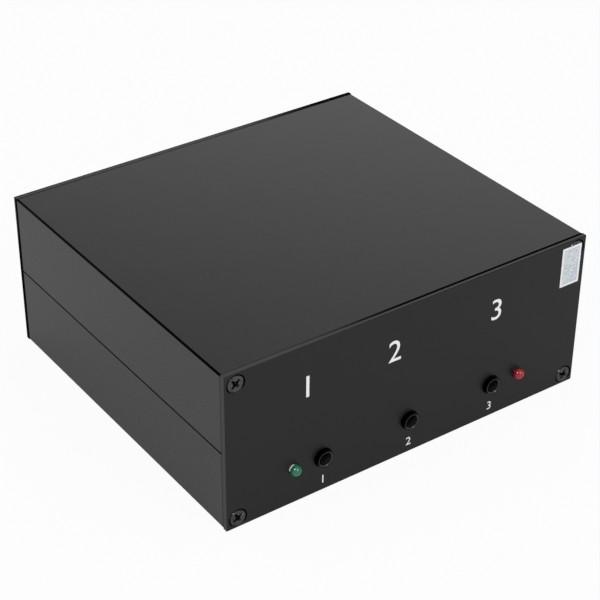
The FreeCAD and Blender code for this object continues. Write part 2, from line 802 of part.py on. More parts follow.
# the rear panel is turned half way round, so its holes are given mirrored
rear_passages = {
    "receiver": (receiver_level, size.receiver_thread + size.receiver_hole_play),
    "keying": (keying_level, size.keying_shell + size.keying_hole_play),
    "power": (power_level, size.power_nose + size.power_hole_play),
    "antenna": (socket_level, size.socket_neck + size.socket_hole_play),
    "transceiver": (socket_level, size.socket_neck + size.socket_hole_play),
}
rear_holes = [(-rear_places[name], *hole) for name, hole in rear_passages.items()]
for across in socket_places.values():
    for side, up in flange_holes:
        rear_holes.append((side - across, up + socket_level, size.screw_hole))
panel("rear_panel", rear_holes).place(0, rear_outside, 0, (Z_AXIS, 180))


def cross_recess(draw):
    """Outline of a cross recess, whose arms narrow towards their ends."""
    arm = size.recess_arm
    middle = size.recess_middle
    end = size.recess_end
    quarter = [(arm, -end), (arm, end), (middle, middle)]
    points = []
    for step in range(4):
        points += quarter
        quarter = [(-up, across) for across, up in quarter]
    return draw.outline(points)


screw_radius = size.channel_radius - size.screw_play


def countersunk_screw(name):
    """Countersunk screw along +Y, sunk into a panel whose outer face is at y = 0.

    The cone of the head lies parallel to the cone of the hole.
    """
    face = size.screw_below
    head = size.sink_radius - face - size.screw_rim - size.screw_play
    end = face + size.panel_screw_length
    piece = Piece(name, keep=False)
    piece.turn(
        "XY_Plane",
        [
            (0, face),
            (head - size.screw_rim, face),
            (head, face + size.screw_rim),
            (screw_radius, face + size.screw_rim + head - screw_radius),
            (screw_radius, end - size.screw_tip),
            (screw_radius - size.screw_tip, end),
            (0, end),
        ],
    )
    return piece.cut("XZ_Plane", face, face + size.recess_depth, cross_recess)


panel_screw = countersunk_screw("panel_screw")
screw_spots = [
    (screw_across * side, level) for side in (-1, 1) for level in screw_levels
]
# where each screw came to rest when it was tightened, in degrees
front_screw_turns = (29, 43, 64, 10)
rear_screw_turns = (71, 18, 37, 55)
group(
    "front_panel_screws",
    panel_screw,
    [
        (across, front_outside, level, (-Y_AXIS, turn))
        for (across, level), turn in zip(screw_spots, front_screw_turns)
    ],
)
group(
    "rear_panel_screws",
    panel_screw,
    [
        (across, rear_outside, level, (Z_AXIS, 180), (-Y_AXIS, turn))
        for (across, level), turn in zip(screw_spots, rear_screw_turns)
    ],
)

board_half_width = half_width - size.shell_wall - size.board_side_gap
board_half_length = half_length - size.board_end_gap
Piece("circuit_board").add(
    "XY_Plane",
    size.board_level,
    board_top,
    lambda draw: draw.box(
        -board_half_width, -board_half_length, board_half_width, board_half_length
    ),
)


# ---------------------------------------------------------------- audio jacks
# Each jack is made with its axis on +Y and the panel's inner face at y = 0.


def jack_housing(name):
    """Moulded housing with its nose, bore, spring slots and windows."""
    mouth = -size.panel_thickness - size.jack_stickout
    half = size.jack_width / 2
    piece = Piece(name)
    piece.add(
        "XZ_Plane",
        0,
        size.jack_depth,
        lambda draw: draw.box(-half, -size.jack_axis, half, size.jack_top),
    )
    nose = size.jack_nose
    bevel = size.jack_nose_bevel
    piece.turn(
        "XY_Plane",
        [(0, mouth), (nose - bevel, mouth), (nose, mouth + bevel), (nose, 0), (0, 0)],
    )
    bore = size.jack_bore
    piece.bore(
        "XY_Plane",
        [
            (0, mouth),
            (bore + size.jack_mouth, mouth),
            (bore, mouth + size.jack_mouth),
            (bore, size.jack_guide),
            (size.jack_chamber, size.jack_guide),
            (size.jack_chamber, size.jack_bore_depth),
            (0, size.jack_bore_depth),
        ],
    )
    window_half = size.leaf_bend_half + size.window_play
    bends = {1: size.tip_root + size.leaf_bend, -1: size.ring_root - size.leaf_bend}
    for side, bend in bends.items():
        piece.cut(
            "XY_Plane",
            -size.jack_axis,
            size.channel_top,
            lambda draw: draw.box(
                size.channel_near * side,
                size.channel_start,
                size.channel_far * side,
                size.channel_end,
            ),
        )
        piece.cut(
            "XY_Plane",
            -size.channel_top,
            size.channel_top,
            lambda draw: draw.box(
                size.contact_radius / 2 * side,
                bend - window_half,
                (size.channel_near + size.window_play) * side,
                bend + window_half,
            ),
        )
    half_slot = size.sleeve_slot / 2
    return piece.cut(
        "XY_Plane",
        -size.jack_axis,
        -size.jack_bore / 2,
        lambda draw: draw.box(
            -half_slot,
            size.jack_guide,
            half_slot,
            size.sleeve_end + size.window_play,
        ),
    )


def jack_spring(name, leg):
    """Bent spring blade with its root on the Z axis and its tip along +Y."""
    half = size.leaf_thickness / 2
    reach = size.leaf_offset - size.contact_radius
    bend = size.leaf_bend
    spread = size.leaf_bend_half
    crease = size.leaf_crease
    blade = [
        (-half, -size.leaf_tail),
        (half, -size.leaf_tail),
        (half, bend - spread - crease),
        (size.leaf_crest - reach, bend),
        (half, bend + spread + crease),
        (half, size.leaf_reach),
        (-half, size.leaf_reach),
        (-half, bend + spread),
        (-reach, bend),
        (-half, bend - spread),
    ]
    piece = Piece(name)
    edge = size.leaf_height / 2
    piece.add("XY_Plane", -edge, edge, lambda draw: draw.outline(blade))
    return piece.add(
        "XY_Plane",
        -leg,
        -edge,
        lambda draw: draw.box(-half, -size.leaf_tail, half, size.leaf_tail),
    )


def break_contact(name):
    """Fixed blade that the tip spring rests against while no plug is in."""
    near_side = size.leaf_offset - size.leaf_thickness / 2 - size.break_gap
    piece = Piece(name, keep=False)
    return piece.add(
        "XY_Plane",
        -size.jack_axis,
        size.leaf_height / 2,
        lambda draw: draw.box(
            near_side - size.leaf_thickness,
            size.break_start,
            near_side,
            size.break_start + size.break_length,
        ),
    )


def sleeve_contact(name):
    """Bent strip below the bore that touches the plug's sleeve."""
    thick = size.leaf_thickness
    crest = -size.sleeve_contact
    ends = crest - size.sleeve_sag
    start = size.sleeve_start
    strip = [
        (start, -size.jack_axis),
        (start + thick, -size.jack_axis),
        (start + thick, ends - thick),
        (size.sleeve_peak, crest - thick),
        (size.sleeve_end, ends - thick),
        (size.sleeve_end, ends),
        (size.sleeve_peak, crest),
        (start, ends),
    ]
    half = size.sleeve_width / 2
    piece = Piece(name, keep=False)
    return piece.add("YZ_Plane", -half, half, lambda draw: draw.outline(strip))


spring_leg = size.jack_axis - size.leg_gap
for side, across in jack_places.items():
    jack_housing(side + "_jack_housing").place(across, front_inside, jack_level)
    tip = jack_spring(side + "_jack_tip_spring", spring_leg)
    tip.place(across + size.leaf_offset, front_inside + size.tip_root, jack_level)
    ring = jack_spring(side + "_jack_ring_spring", spring_leg)
    ring.place(
        across - size.leaf_offset,
        front_inside + size.ring_root,
        jack_level,
        (Z_AXIS, 180),
    )
jack_spots = [(across, front_inside, jack_level) for across in jack_places.values()]
group("jack_break_contacts", break_contact("break_contact"), jack_spots)
group("jack_sleeve_contacts", sleeve_contact("sleeve_contact"), jack_spots)


# ---------------------------------------------------------------- lamps


def lamp(name):
    """3 mm lamp along the Y axis, with the panel's inner face at y = 0."""
    tip = -size.panel_thickness - size.led_stickout
    collar = tip + size.led_barrel
    back = collar + size.led_collar_length
    piece = Piece(name)
    piece.turn(
        "XY_Plane",
        [
            (0, tip),
            (size.led_radius, tip),
            (size.led_radius, collar),
            (size.led_collar, collar),
            (size.led_collar, back),
            (0, back),
        ],
    )
    return piece.dress(
        "Fillet",
        size.led_radius - size.led_dome_flat,
        lambda edge: near(edge.BoundBox.YMax, tip),
    )


def lamp_leads(name):
    """The two bent leads of a lamp."""
    back = size.led_barrel + size.led_collar_length
    back = back - size.panel_thickness - size.led_stickout
    half = size.lead_wire / 2
    run = back + size.lead_run
    wire = [
        (back, -half),
        (run - half, -half),
        (run - half, -size.led_axis),
        (run + half, -size.led_axis),
        (run + half, half),
        (back, half),
    ]
    centre = size.lead_pitch / 2
    piece = Piece(name, keep=False)
    piece.add(
        "YZ_Plane", centre - half, centre + half, lambda draw: draw.outline(wire)
    )
    return piece.mirror("YZ_Plane")


for colour, across in led_places.items():
    lamp(colour + "_lamp").place(across, front_inside, led_level)
group(
    "lamp_leads",
    lamp_leads("lamp_lead_pair"),
    [(across, front_inside, led_level) for across in led_places.values()],
)


# ---------------------------------------------------------------- large sockets
# Made with the axis on +Y and the rear panel's outer face at y = 0.

socket_rim = size.socket_flange_thickness + size.socket_length


def socket_body(name):
    """Square flange and threaded barrel, with locating notches in the rim."""
    half = size.socket_flange / 2
    bevel = half - size.socket_corner
    flange = []
    corner = [(half, bevel), (bevel, half)]
    for step in range(4):
        flange += corner
        corner = [(-up, across) for across, up in corner]
    radius = size.socket_radius
    rim_bevel = size.socket_rim_bevel
    neck_back = -size.socket_neck_length
    piece = Piece(name)
    piece.add(
        "XZ_Plane",
        0,
        size.socket_flange_thickness,
        lambda draw: draw.outline(flange),
    )
    piece.turn(
        "XY_Plane",
        [
            (0, neck_back),
            (size.socket_neck, neck_back),
            (size.socket_neck, size.socket_flange_thickness / 2),
            (radius, size.socket_flange_thickness / 2),
            (radius, socket_rim - rim_bevel),
            (radius - rim_bevel, socket_rim),
            (0, socket_rim),
        ],
    )
    piece.bore(
        "XY_Plane",
        [
            (0, neck_back),
            (size.socket_neck_bore, neck_back),
            (size.socket_neck_bore, size.socket_floor),
            (size.socket_bore, size.socket_floor),
            (size.socket_bore, socket_rim),
            (0, socket_rim),
        ],
    )

    def holes(draw):
        for across, up in flange_holes:
            draw.circle(across, up, size.screw_hole)
        return draw

    piece.cut("XZ_Plane", 0, size.socket_flange_thickness, holes)
    notch = size.socket_notch_width / 2
    floor = socket_rim - size.socket_notch_depth
    for quarter in ((radius, notch), (notch, radius)):
        across, up = quarter
        piece.cut(
            "XZ_Plane",
            floor,
            socket_rim,
            lambda draw: draw.box(-across, -up, across, up),
        )
    return piece


contact_end = socket_rim - size.contact_below_rim


def socket_insulator(name):
    """Stepped insulator in the neck and on the floor of the barrel."""
    play = size.fit_play
    face = size.socket_floor + size.socket_disc
    back = -size.socket_neck_length
    piece = Piece(name, keep=False)
    return piece.turn(
        "XY_Plane",
        [
            (size.contact_tail + play, back),
            (size.socket_neck_bore - play, back),
            (size.socket_neck_bore - play, size.socket_floor),
            (size.socket_bore - play, size.socket_floor),
            (size.socket_bore - play, face),
            (size.contact_outer + play, face),
            (size.contact_outer + play, size.contact_step),
            (size.contact_tail + play, size.contact_step),
        ],
    )


def socket_contact(name):
    """Slotted centre contact with a solder cup at its tail."""
    back = -size.contact_tail_length
    piece = Piece(name, keep=False)
    piece.turn(
        "XY_Plane",
        [
            (0, back + size.cup_depth),
            (size.cup_radius, back + size.cup_depth),
            (size.cup_radius, back),
            (size.contact_tail, back),
            (size.contact_tail, size.contact_step),
            (size.contact_outer, size.contact_step),
            (size.contact_outer, contact_end),
            (size.contact_inner, contact_end),
            (size.contact_inner, contact_end - size.contact_bore_depth),
            (0, contact_end - size.contact_bore_depth),
        ],
    )
    half = size.contact_slot / 2
    reach = size.contact_outer
    low = contact_end - size.contact_slot_length
    for across, up in ((reach, half), (half, reach)):
        piece.cut(
            "XZ_Plane",
            low,
            contact_end,
            lambda draw: draw.box(-across, -up, across, up),
        )
    return piece


def pan_screw(name):
    """Pan head screw along -Y, with the underside of its head at y = 0."""
    height = size.pan_head_height
    head = size.pan_head
    length = size.socket_screw_length
    piece = Piece(name, keep=False)
    piece.turn(
        "XY_Plane",
        [
            (0, -length),
            (screw_radius - size.screw_tip, -length),
            (screw_radius, size.screw_tip - length),
            (screw_radius, 0),
            (head, 0),
            (head, height - size.pan_head_round),
            (head - size.pan_head_round, height),
            (0, height),
        ],
    )
    return piece.cut("XZ_Plane", height - size.recess_depth, height, cross_recess)


def hexagon_nut(name, flats, bore, thickness):
    """Hexagon nut along +Y, with its seat at y = 0."""
    piece = Piece(name, keep=False)
    piece.add("XZ_Plane", 0, thickness, lambda draw: draw.hexagon(0, 0, flats))
    return piece.cut(
        "XZ_Plane", 0, thickness, lambda draw: draw.circle(0, 0, bore)
    )


def socket_lead(name):
    """Wire from a solder cup down to the board, bent once."""
    start = size.lead_grip - size.contact_tail_length
    drop = -size.contact_tail_length - size.lead_set_back
    bend = size.lead_bend
    foot = board_top - socket_level
    piece = Piece(name, keep=False)
    path = Profile(piece.body, "YZ_Plane", 0)
    corner = FreeCAD.Vector((drop + bend).value, -bend.value, 0)
    path.sketch.addGeometry(
        Part.LineSegment(
            FreeCAD.Vector(start.value, 0, 0), FreeCAD.Vector(corner.x, 0, 0)
        )
    )
    path.sketch.addGeometry(
        Part.ArcOfCircle(
            Part.Circle(corner, FreeCAD.Vector(0, 0, 1), bend.value),
            math.pi / 2,
            math.pi,
        )
    )
    path.sketch.addGeometry(
        Part.LineSegment(
            FreeCAD.Vector(drop.value, corner.y, 0),
            FreeCAD.Vector(drop.value, foot.value, 0),
        )
    )
    path.pin(0, 1, start, 0)
    path.pin(0, 2, drop + bend, 0)
    path.pin(2, 1, drop, -bend)
    path.pin(2, 2, drop, foot)
    path.sketch.addConstraint(Sketcher.Constraint("Coincident", 0, 2, 1, 1))
    path.sketch.addConstraint(Sketcher.Constraint("Coincident", 1, 2, 2, 1))
    turn = path.sketch.addConstraint(Sketcher.Constraint("Radius", 1, bend.value))
    bind(path.sketch, f"Constraints[{turn}]", bend)
    section = Profile(piece.body, "XZ_Plane", start).circle(0, 0, size.lead_radius)
    piece.feature("AdditivePipe", section, Spine=(path.sketch, []))
    path.sketch.Visibility = False
    return piece


for name, across in socket_places.items():
    socket_body(name + "_socket").place(across, rear_outside, socket_level)
socket_spots = [
    (across, rear_outside, socket_level) for across in socket_places.values()
]
group("socket_insulators", socket_insulator("socket_insulator"), socket_spots)
group("socket_contacts", socket_contact("socket_contact"), socket_spots)
group("socket_leads", socket_lead("socket_lead"), socket_spots)
fixing_spots = [
    (side + across, level + socket_level)
    for across in socket_places.values()
    for side, level in flange_holes
]
group(
    "socket_screws",
    pan_screw("socket_screw"),
    [
        (across, rear_outside + size.socket_flange_thickness, level)
        for across, level in fixing_spots
    ],
)
group(
    "socket_nuts",
    hexagon_nut("socket_nut", size.nut_flats, size.nut_bore, size.nut_thickness),
    [
        (across, rear_inside - size.nut_thickness, level)
        for across, level in fixing_spots
    ],
)


# ---------------------------------------------------------------- receiver socket


def receiver_socket():
    """Small threaded socket that stands on the board, with its nut and washer."""
    side = size.receiver_block / 2
    block_back = -size.panel_thickness - size.receiver_block_depth
    face = size.receiver_floor
    rim = size.receiver_length
    play = size.fit_play
    across = rear_places["receiver"]
    spot = (across, rear_outside, receiver_level)

    body = Piece("receiver_socket")
    body.add(
        "XZ_Plane",
        block_back,
        -size.panel_thickness,
        lambda draw: draw.box(-side, -size.receiver_axis, side, side),
    )
    root = -size.panel_thickness - size.receiver_block_depth / 2
    nut_face = size.washer_thickness + size.receiver_nut_thickness
    body.turn(
        "XY_Plane",
        [
            (0, root),
            (size.receiver_shank, root),
            (size.receiver_shank, nut_face),
            (size.receiver_thread, nut_face),
            (size.receiver_thread, rim),
            (0, rim),
        ],
    )
    body.bore(
        "XY_Plane",
        [
            (0, block_back),
            (size.receiver_insulator + play, block_back),
            (size.receiver_insulator + play, face),
            (size.receiver_bore, face),
            (size.receiver_bore, rim),
            (0, rim),
        ],
    )
    body.place(*spot)

    insulator = Piece("receiver_socket_insulator")
    insulator.turn(
        "XY_Plane",
        [
            (size.receiver_pin + play, block_back),
            (size.receiver_insulator, block_back),
            (size.receiver_insulator, face),
            (size.receiver_pin + play, face),
        ],
    )
    insulator.place(*spot)

    pin_end = rim - size.receiver_pin_end
    tail = block_back - size.receiver_tail
    contact = Piece("receiver_socket_contact")
    contact.turn(
        "XY_Plane",
        [
            (0, tail),
            (size.receiver_pin, tail),
            (size.receiver_pin, pin_end),
            (size.receiver_pin_bore, pin_end),
            (size.receiver_pin_bore, pin_end - size.receiver_pin_depth),
            (0, pin_end - size.receiver_pin_depth),
        ],
    )
    contact.add(
        "XY_Plane",
        -size.receiver_axis,
        0,
        lambda draw: draw.circle(0, tail + size.receiver_pin, size.receiver_leg),
    )
    contact.place(*spot)

    nut = hexagon_nut(
        "receiver_nut",
        size.receiver_nut_flats,
        size.receiver_shank + play,
        size.receiver_nut_thickness,
    )
    nut.place(across, rear_outside + size.washer_thickness, receiver_level)
    washer = Piece("receiver_washer", keep=False)
    washer.turn(
        "XY_Plane",
        [
            (size.receiver_thread + play, 0),
            (size.washer_radius, 0),
            (size.washer_radius, size.washer_thickness),
            (size.receiver_thread + play, size.washer_thickness),
        ],
    )
    washer.place(*spot)
    collect("receiver_socket_nut_and_washer", [nut.body, washer.body])


receiver_socket()


# ---------------------------------------------------------------- keying socket


def keying_socket():
    """Phono socket on the board: housing with core, metal sleeve, contact."""
    inside = -size.panel_thickness
    half = size.keying_width / 2
    back = inside - size.keying_depth
    play = size.fit_play
    root = size.keying_shell - size.keying_shell_step
    sleeve_inner = root - size.keying_shell_wall
    contact_outer = size.keying_contact + size.keying_contact_wall
    contact_back = size.keying_core_length - size.keying_contact_length
    spot = (rear_places["keying"], rear_outside, keying_level)

    housing = Piece("keying_socket_housing")
    housing.add(
        "XZ_Plane",
        back,
        inside,
        lambda draw: draw.box(-half, -size.keying_axis, half, size.keying_top),
    )
    housing.turn(
        "XY_Plane",
        [
            (0, inside - size.keying_shell_grip),
            (sleeve_inner - play, inside - size.keying_shell_grip),
            (sleeve_inner - play, size.keying_core_length),
            (0, size.keying_core_length),
        ],
    )
    housing.bore(
        "XY_Plane",
        [
            (sleeve_inner - play, inside - size.keying_shell_grip),
            (root + play, inside - size.keying_shell_grip),
            (root + play, inside),
            (sleeve_inner - play, inside),
        ],
    )
    housing.bore(
        "XY_Plane",
        [
            (0, contact_back),
            (contact_outer + play, contact_back),
            (contact_outer + play, size.keying_core_length),
            (0, size.keying_core_length),
        ],
    )
    housing.place(*spot)

    sleeve = Piece("keying_socket_sleeve")
    sleeve.turn(
        "XY_Plane",
        [
            (sleeve_inner, inside - size.keying_shell_grip),
            (root, inside - size.keying_shell_grip),
            (root, 0),
            (size.keying_shell, 0),
            (size.keying_shell, size.keying_shell_length),
            (sleeve_inner, size.keying_shell_length),
        ],
    )
    sleeve.place(*spot)

    contact = Piece("keying_socket_contact")
    contact.turn(
        "XY_Plane",
        [
            (size.keying_contact, contact_back),
            (contact_outer, contact_back),
            (contact_outer, size.keying_core_length),
            (size.keying_contact, size.keying_core_length),
        ],
    )
    contact.place(*spot)


keying_socket()


# ---------------------------------------------------------------- power socket


def power_socket():
    """Barrel socket on the board: housing, centre pin and sleeve spring."""
    inside = -size.panel_thickness
    back = inside - size.power_depth
    half = size.power_width / 2
    mouth = size.power_stickout
    floor = mouth - size.power_bore_depth
    spot = (rear_places["power"], rear_outside, power_level)

    housing = Piece("power_socket_housing")
    housing.add(
        "XZ_Plane",
        back,
        inside,
        lambda draw: draw.box(-half, -size.power_axis, half, size.power_top),
    )
    housing.turn(
        "XY_Plane",
        [
            (0, inside - size.power_depth / 2),
            (size.power_nose, inside - size.power_depth / 2),
            (size.power_nose, mouth),
            (0, mouth),
        ],
    )
    housing.bore(
        "XY_Plane",
        [(0, floor), (size.power_bore, floor), (size.power_bore, mouth), (0, mouth)],
    )
    housing.cut(
        "XZ_Plane",
        back,
        floor,
        lambda draw: draw.circle(0, 0, size.power_pin_root + size.fit_play),
    )
    front = mouth - size.power_leaf_front
    rear = front - size.power_leaf_length
    slot = size.power_leaf_slot / 2
    housing.cut(
        "XY_Plane",
        -size.power_axis,
        -size.power_bore / 2,
        lambda draw: draw.box(
            -slot, rear - size.window_play, slot, front + size.window_play
        ),
    )
    housing.place(*spot)

    end = mouth - size.power_pin_below
    pin = Piece("power_socket_pin")
    pin.turn(
        "XY_Plane",
        [
            (0, floor - size.power_pin_grip),
            (size.power_pin_root, floor - size.power_pin_grip),
            (size.power_pin_root, floor),
            (size.power_pin, floor),
            (size.power_pin, end - size.power_pin_tip),
            (size.power_pin - size.power_pin_tip, end),
            (0, end),
        ],
    )
    pin.place(*spot)

    thick = size.power_leaf_thickness
    crest = -size.power_leaf_crest
    ends = crest - size.power_leaf_sag
    strip = [
        (rear, -size.power_axis),
        (rear + thick, -size.power_axis),
        (rear + thick, ends - thick),
        ((front + rear) / 2, crest - thick),
        (front, ends - thick),
        (front, ends),
        ((front + rear) / 2, crest),
        (rear, ends),
    ]
    width = size.power_leaf_width / 2
    spring = Piece("power_socket_spring")
    spring.add("YZ_Plane", -width, width, lambda draw: draw.outline(strip))
    spring.place(*spot)


power_socket()


# ---------------------------------------------------------------- relays


def relay(name, across, along_case):
    """One relay on the board, with its length along X and its yoke on the left.

    across and along_case give its middle. The armature is made closed, flat on
    the pole, and then placed open: swung up about the outer top edge of the
    yoke, with its contact on the break side.
    """

    def own(word):
        return size.get(f"{name}_relay_{word}")

    def piece(word):
        return Piece(f"{name}_relay_{word}")

    half = own("length") / 2
    side = own("width") / 2
    pole = own("pole")
    core = own("core")
    floor = size.relay_base
    iron = size.yoke_thickness
    iron_half = side - size.yoke_side
    pivot = size.yoke_inset - half
    pivot_level = pole
    play = size.fit_play
    swing = sine(size.armature_angle)
    spot = (across, along_case, board_top)

    def seat(part):
        return part.place(*spot)

    seat(
        piece("base").add(
            "XY_Plane", 0, floor, lambda draw: draw.box(-half, -side, half, side)
        )
    )

    foot_end = core + size.pole_radius
    yoke = [
        (pivot, floor),
        (foot_end, floor),
        (foot_end, floor + iron),
        (pivot + iron, floor + iron),
        (pivot + iron, pivot_level),
        (pivot, pivot_level),
    ]
    seat(
        piece("yoke").add(
            "XZ_Plane", -iron_half, iron_half, lambda draw: draw.outline(yoke)
        )
    )

    iron_top = floor + iron
    under_pole = pole - size.pole_thickness
    core_spot = (across + core, along_case, board_top)
    iron_core = piece("core")
    iron_core.turn(
        "XZ_Plane",
        [
            (0, iron_top),
            (size.core_radius, iron_top),
            (size.core_radius, under_pole),
            (size.pole_radius, under_pole),
            (size.pole_radius, pole),
            (0, pole),
        ],
    )
    iron_core.place(*core_spot)

    wall = size.bobbin_wall
    tube = size.core_radius + play
    rim = own("coil") + size.bobbin_rim
    bobbin_low = iron_top + play
    bobbin_high = under_pole - play
    bobbin = piece("bobbin")
    bobbin.turn(
        "XZ_Plane",
        [
            (tube, bobbin_low),
            (rim, bobbin_low),
            (rim, bobbin_low + wall),
            (tube + wall, bobbin_low + wall),
            (tube + wall, bobbin_high - wall),
            (rim, bobbin_high - wall),
            (rim, bobbin_high),
            (tube, bobbin_high),
        ],
    )
    bobbin.place(*core_spot)

    coil = piece("coil")
    coil.turn(
        "XZ_Plane",
        [
            (tube + wall + play, bobbin_low + wall + play),
            (own("coil"), bobbin_low + wall + play),
            (own("coil"), bobbin_high - wall - play),
            (tube + wall + play, bobbin_high - wall - play),
        ],
    )
    coil.place(*core_spot)

    # from here on x counts from the pivot and z from the top of the yoke
    gap = size.armature_gap
    plate_end = core + size.pole_radius + size.armature_overhang - pivot
    plate_top = gap + size.armature_thickness
    contact = half - size.contact_inset - pivot
    pivot_spot = (
        across + pivot,
        along_case,
        board_top + pivot_level,
        (-Y_AXIS, size.armature_angle.value),
    )
    armature = piece("armature")
    armature.add(
        "XY_Plane",
        gap,
        plate_top,
        lambda draw: draw.box(-size.armature_tail, -iron_half, plate_end, iron_half),
    )
    armature.place(*pivot_spot)
    armature.body.setExpression(
        "Placement.Rotation.Angle", f"{size.armature_angle.text} * 1 deg"
    )

    blade_half = size.blade_width / 2
    rivet_reach = size.rivet_radius + size.rivet_margin
    blade_top = plate_top + size.blade_thickness
    rivet_low = plate_top - size.rivet_height
    rivet_high = blade_top + size.rivet_height
    blade = piece("contact_blade")
    blade.add(
        "XY_Plane",
        plate_top,
        blade_top,
        lambda draw: draw.box(
            size.blade_start,
            -blade_half,
            contact + rivet_reach,
            blade_half,
        ),
    )
    blade.add(
        "XY_Plane",
        rivet_low,
        rivet_high,
        lambda draw: draw.circle(contact, 0, size.rivet_radius),
    )
    blade.place(*pivot_spot)
    blade.body.setExpression(
        "Placement.Rotation.Angle", f"{size.armature_angle.text} * 1 deg"
    )

    # fixed contacts: the make contact below the rivet, the break contact above it
    strip = size.terminal_thickness
    make_top = pivot_level + rivet_low - size.contact_gap
    rise = (contact + size.rivet_radius) * swing
    break_low = pivot_level + rivet_high + rise + size.contact_gap
    contact_across = pivot + contact
    tab_end = contact_across - rivet_reach
    make_post = half - size.make_inset
    break_post = half - size.break_inset
    make_strip = make_top - size.rivet_height
    break_strip = break_low + size.rivet_height
    shapes = {
        "make_contact": (
            [
                (make_post, floor),
                (make_post + strip, floor),
                (make_post + strip, make_strip),
                (tab_end, make_strip),
                (tab_end, make_strip - strip),
                (make_post, make_strip - strip),
            ],
            (make_strip, make_top),
        ),
        "break_contact": (
            [
                (break_post, floor),
                (break_post + strip, floor),
                (break_post + strip, break_strip + strip),
                (tab_end, break_strip + strip),
                (tab_end, break_strip),
                (break_post, break_strip),
            ],
            (break_low, break_strip),
        ),
    }
    fixed = []
    for word, (outline, rivet) in shapes.items():
        part = Piece(f"{name}_{word}", keep=False)
        part.add(
            "XZ_Plane", -blade_half, blade_half, lambda draw: draw.outline(outline)
        )
        part.add(
            "XY_Plane",
            *rivet,
            lambda draw: draw.circle(contact_across, 0, size.rivet_radius),
        )
        fixed.append(seat(part).body)
    collect(f"{name}_relay_fixed_contacts", fixed)

    inner_half = half + size.relay_cover_play
    inner_side = side + size.relay_cover_play
    outer_half = inner_half + size.relay_cover_wall
    outer_side = inner_side + size.relay_cover_wall
    top = own("height")
    cover = piece("cover")
    cover.add(
        "XY_Plane",
        size.relay_cover_lift,
        top,
        lambda draw: draw.box(-outer_half, -outer_side, outer_half, outer_side),
    )
    cover.cut(
        "XY_Plane",
        size.relay_cover_lift,
        top - size.relay_cover_wall,
        lambda draw: draw.box(-inner_half, -inner_side, inner_half, inner_side),
    )
    seat(cover)


relay(
    "antenna",
    board_half_width - size.antenna_relay_inset,
    rear_inside - size.antenna_relay_set_back,
)
relay(
    "audio",
    size.audio_relay_inset - board_half_width,
    front_inside + size.audio_relay_set_back,
)


# ---------------------------------------------------------------- board components

CAPACITORS = 3
TRANSISTORS = 2
RESISTORS = 6


def capacitor(name):
    """Electrolytic capacitor standing on the board."""
    piece = Piece(name, keep=False)
    round_off = size.capacitor_round
    return piece.turn(
        "XZ_Plane",
        [
            (0, 0),
            (size.capacitor_radius, 0),
            (size.capacitor_radius, size.capacitor_height - round_off),
            (size.capacitor_radius - round_off, size.capacitor_height),
            (0, size.capacitor_height),
        ],
    )


group(
    "smoothing_capacitors",
    capacitor("capacitor"),
    [
        (
            size.capacitor_inset - board_half_width,
            rear_inside - size.capacitor_set_back - size.capacitor_pitch * step,
            board_top,
        )
        for step in range(CAPACITORS)
    ],
)


def regulator():
    """Voltage regulator standing on its three legs."""
    half = size.regulator_width / 2
    leg = size.regulator_leg
    top = leg + size.regulator_body
    thick = size.regulator_thickness
    tab = size.regulator_tab
    piece = Piece("voltage_regulator")
    piece.add("XY_Plane", leg, top, lambda draw: draw.box(-half, 0, half, thick))
    piece.add(
        "XY_Plane",
        top,
        top + size.regulator_tab_height,
        lambda draw: draw.box(-half, 0, half, tab),
    )
    piece.cut(
        "XZ_Plane",
        0,
        tab,
        lambda draw: draw.circle(
            0, top + size.regulator_tab_height / 2, size.regulator_tab_hole
        ),
    )
    wide = size.regulator_leg_width / 2

    def legs(draw):
        for step in (-1, 0, 1):
            across = size.regulator_leg_pitch * step
            draw.box(across - wide, thick / 2, across + wide, thick / 2 + wide)
        return draw

    piece.add("XY_Plane", 0, leg, legs)
    piece.place(
        size.regulator_inset - board_half_width,
        rear_inside - size.regulator_set_back,
        board_top,
    )


regulator()


def transistor(name):
    """Driver transistor: a moulding with one flat side, on three legs."""
    radius = size.transistor_radius
    lift = size.transistor_lift
    piece = Piece(name, keep=False)
    piece.add(
        "XY_Plane",
        lift,
        lift + size.transistor_height,
        lambda draw: draw.circle(0, 0, radius),
    )
    piece.cut(
        "XY_Plane",
        lift,
        lift + size.transistor_height,
        lambda draw: draw.box(-radius, size.transistor_flat, radius, radius * 2),
    )
    wide = size.lead_wire / 2
    pitch = size.lead_pitch / 2

    def legs(draw):
        for step in (-1, 0, 1):
            across = pitch * step
            draw.box(across - wide, -wide, across + wide, wide)
        return draw

    return piece.add("XY_Plane", 0, lift, legs)


group(
    "driver_transistors",
    transistor("transistor"),
    [
        (
            size.transistor_side + size.transistor_pitch * step,
            front_inside + size.transistor_set_back,
            board_top,
        )
        for step in range(TRANSISTORS)
    ],
)


def resistor(name):
    """Resistor lying above the board on its two bent leads."""
    wire = size.resistor_wire
    span = size.resistor_span / 2
    lift = size.resistor_lift
    piece = Piece(name, keep=False)
    piece.add(
        "YZ_Plane",
        -size.resistor_length / 2,
        size.resistor_length / 2,
        lambda draw: draw.circle(0, lift, size.resistor_radius),
    )
    lead = [
        (-span - wire, 0),
        (wire - span, 0),
        (wire - span, lift - wire),
        (span - wire, lift - wire),
        (span - wire, 0),
        (span + wire, 0),
        (span + wire, lift + wire),
        (-span - wire, lift + wire),
    ]
    return piece.add("XZ_Plane", -wire, wire, lambda draw: draw.outline(lead))


group(
    "resistors",
    resistor("resistor"),
    [
        (
            board_half_width - size.resistor_inset,
            front_inside
            + size.jack_depth
            + size.resistor_clearance
            + size.resistor_pitch * step,
            board_top,
        )
        for step in range(RESISTORS)
    ],
)


# ---------------------------------------------------------------- writing

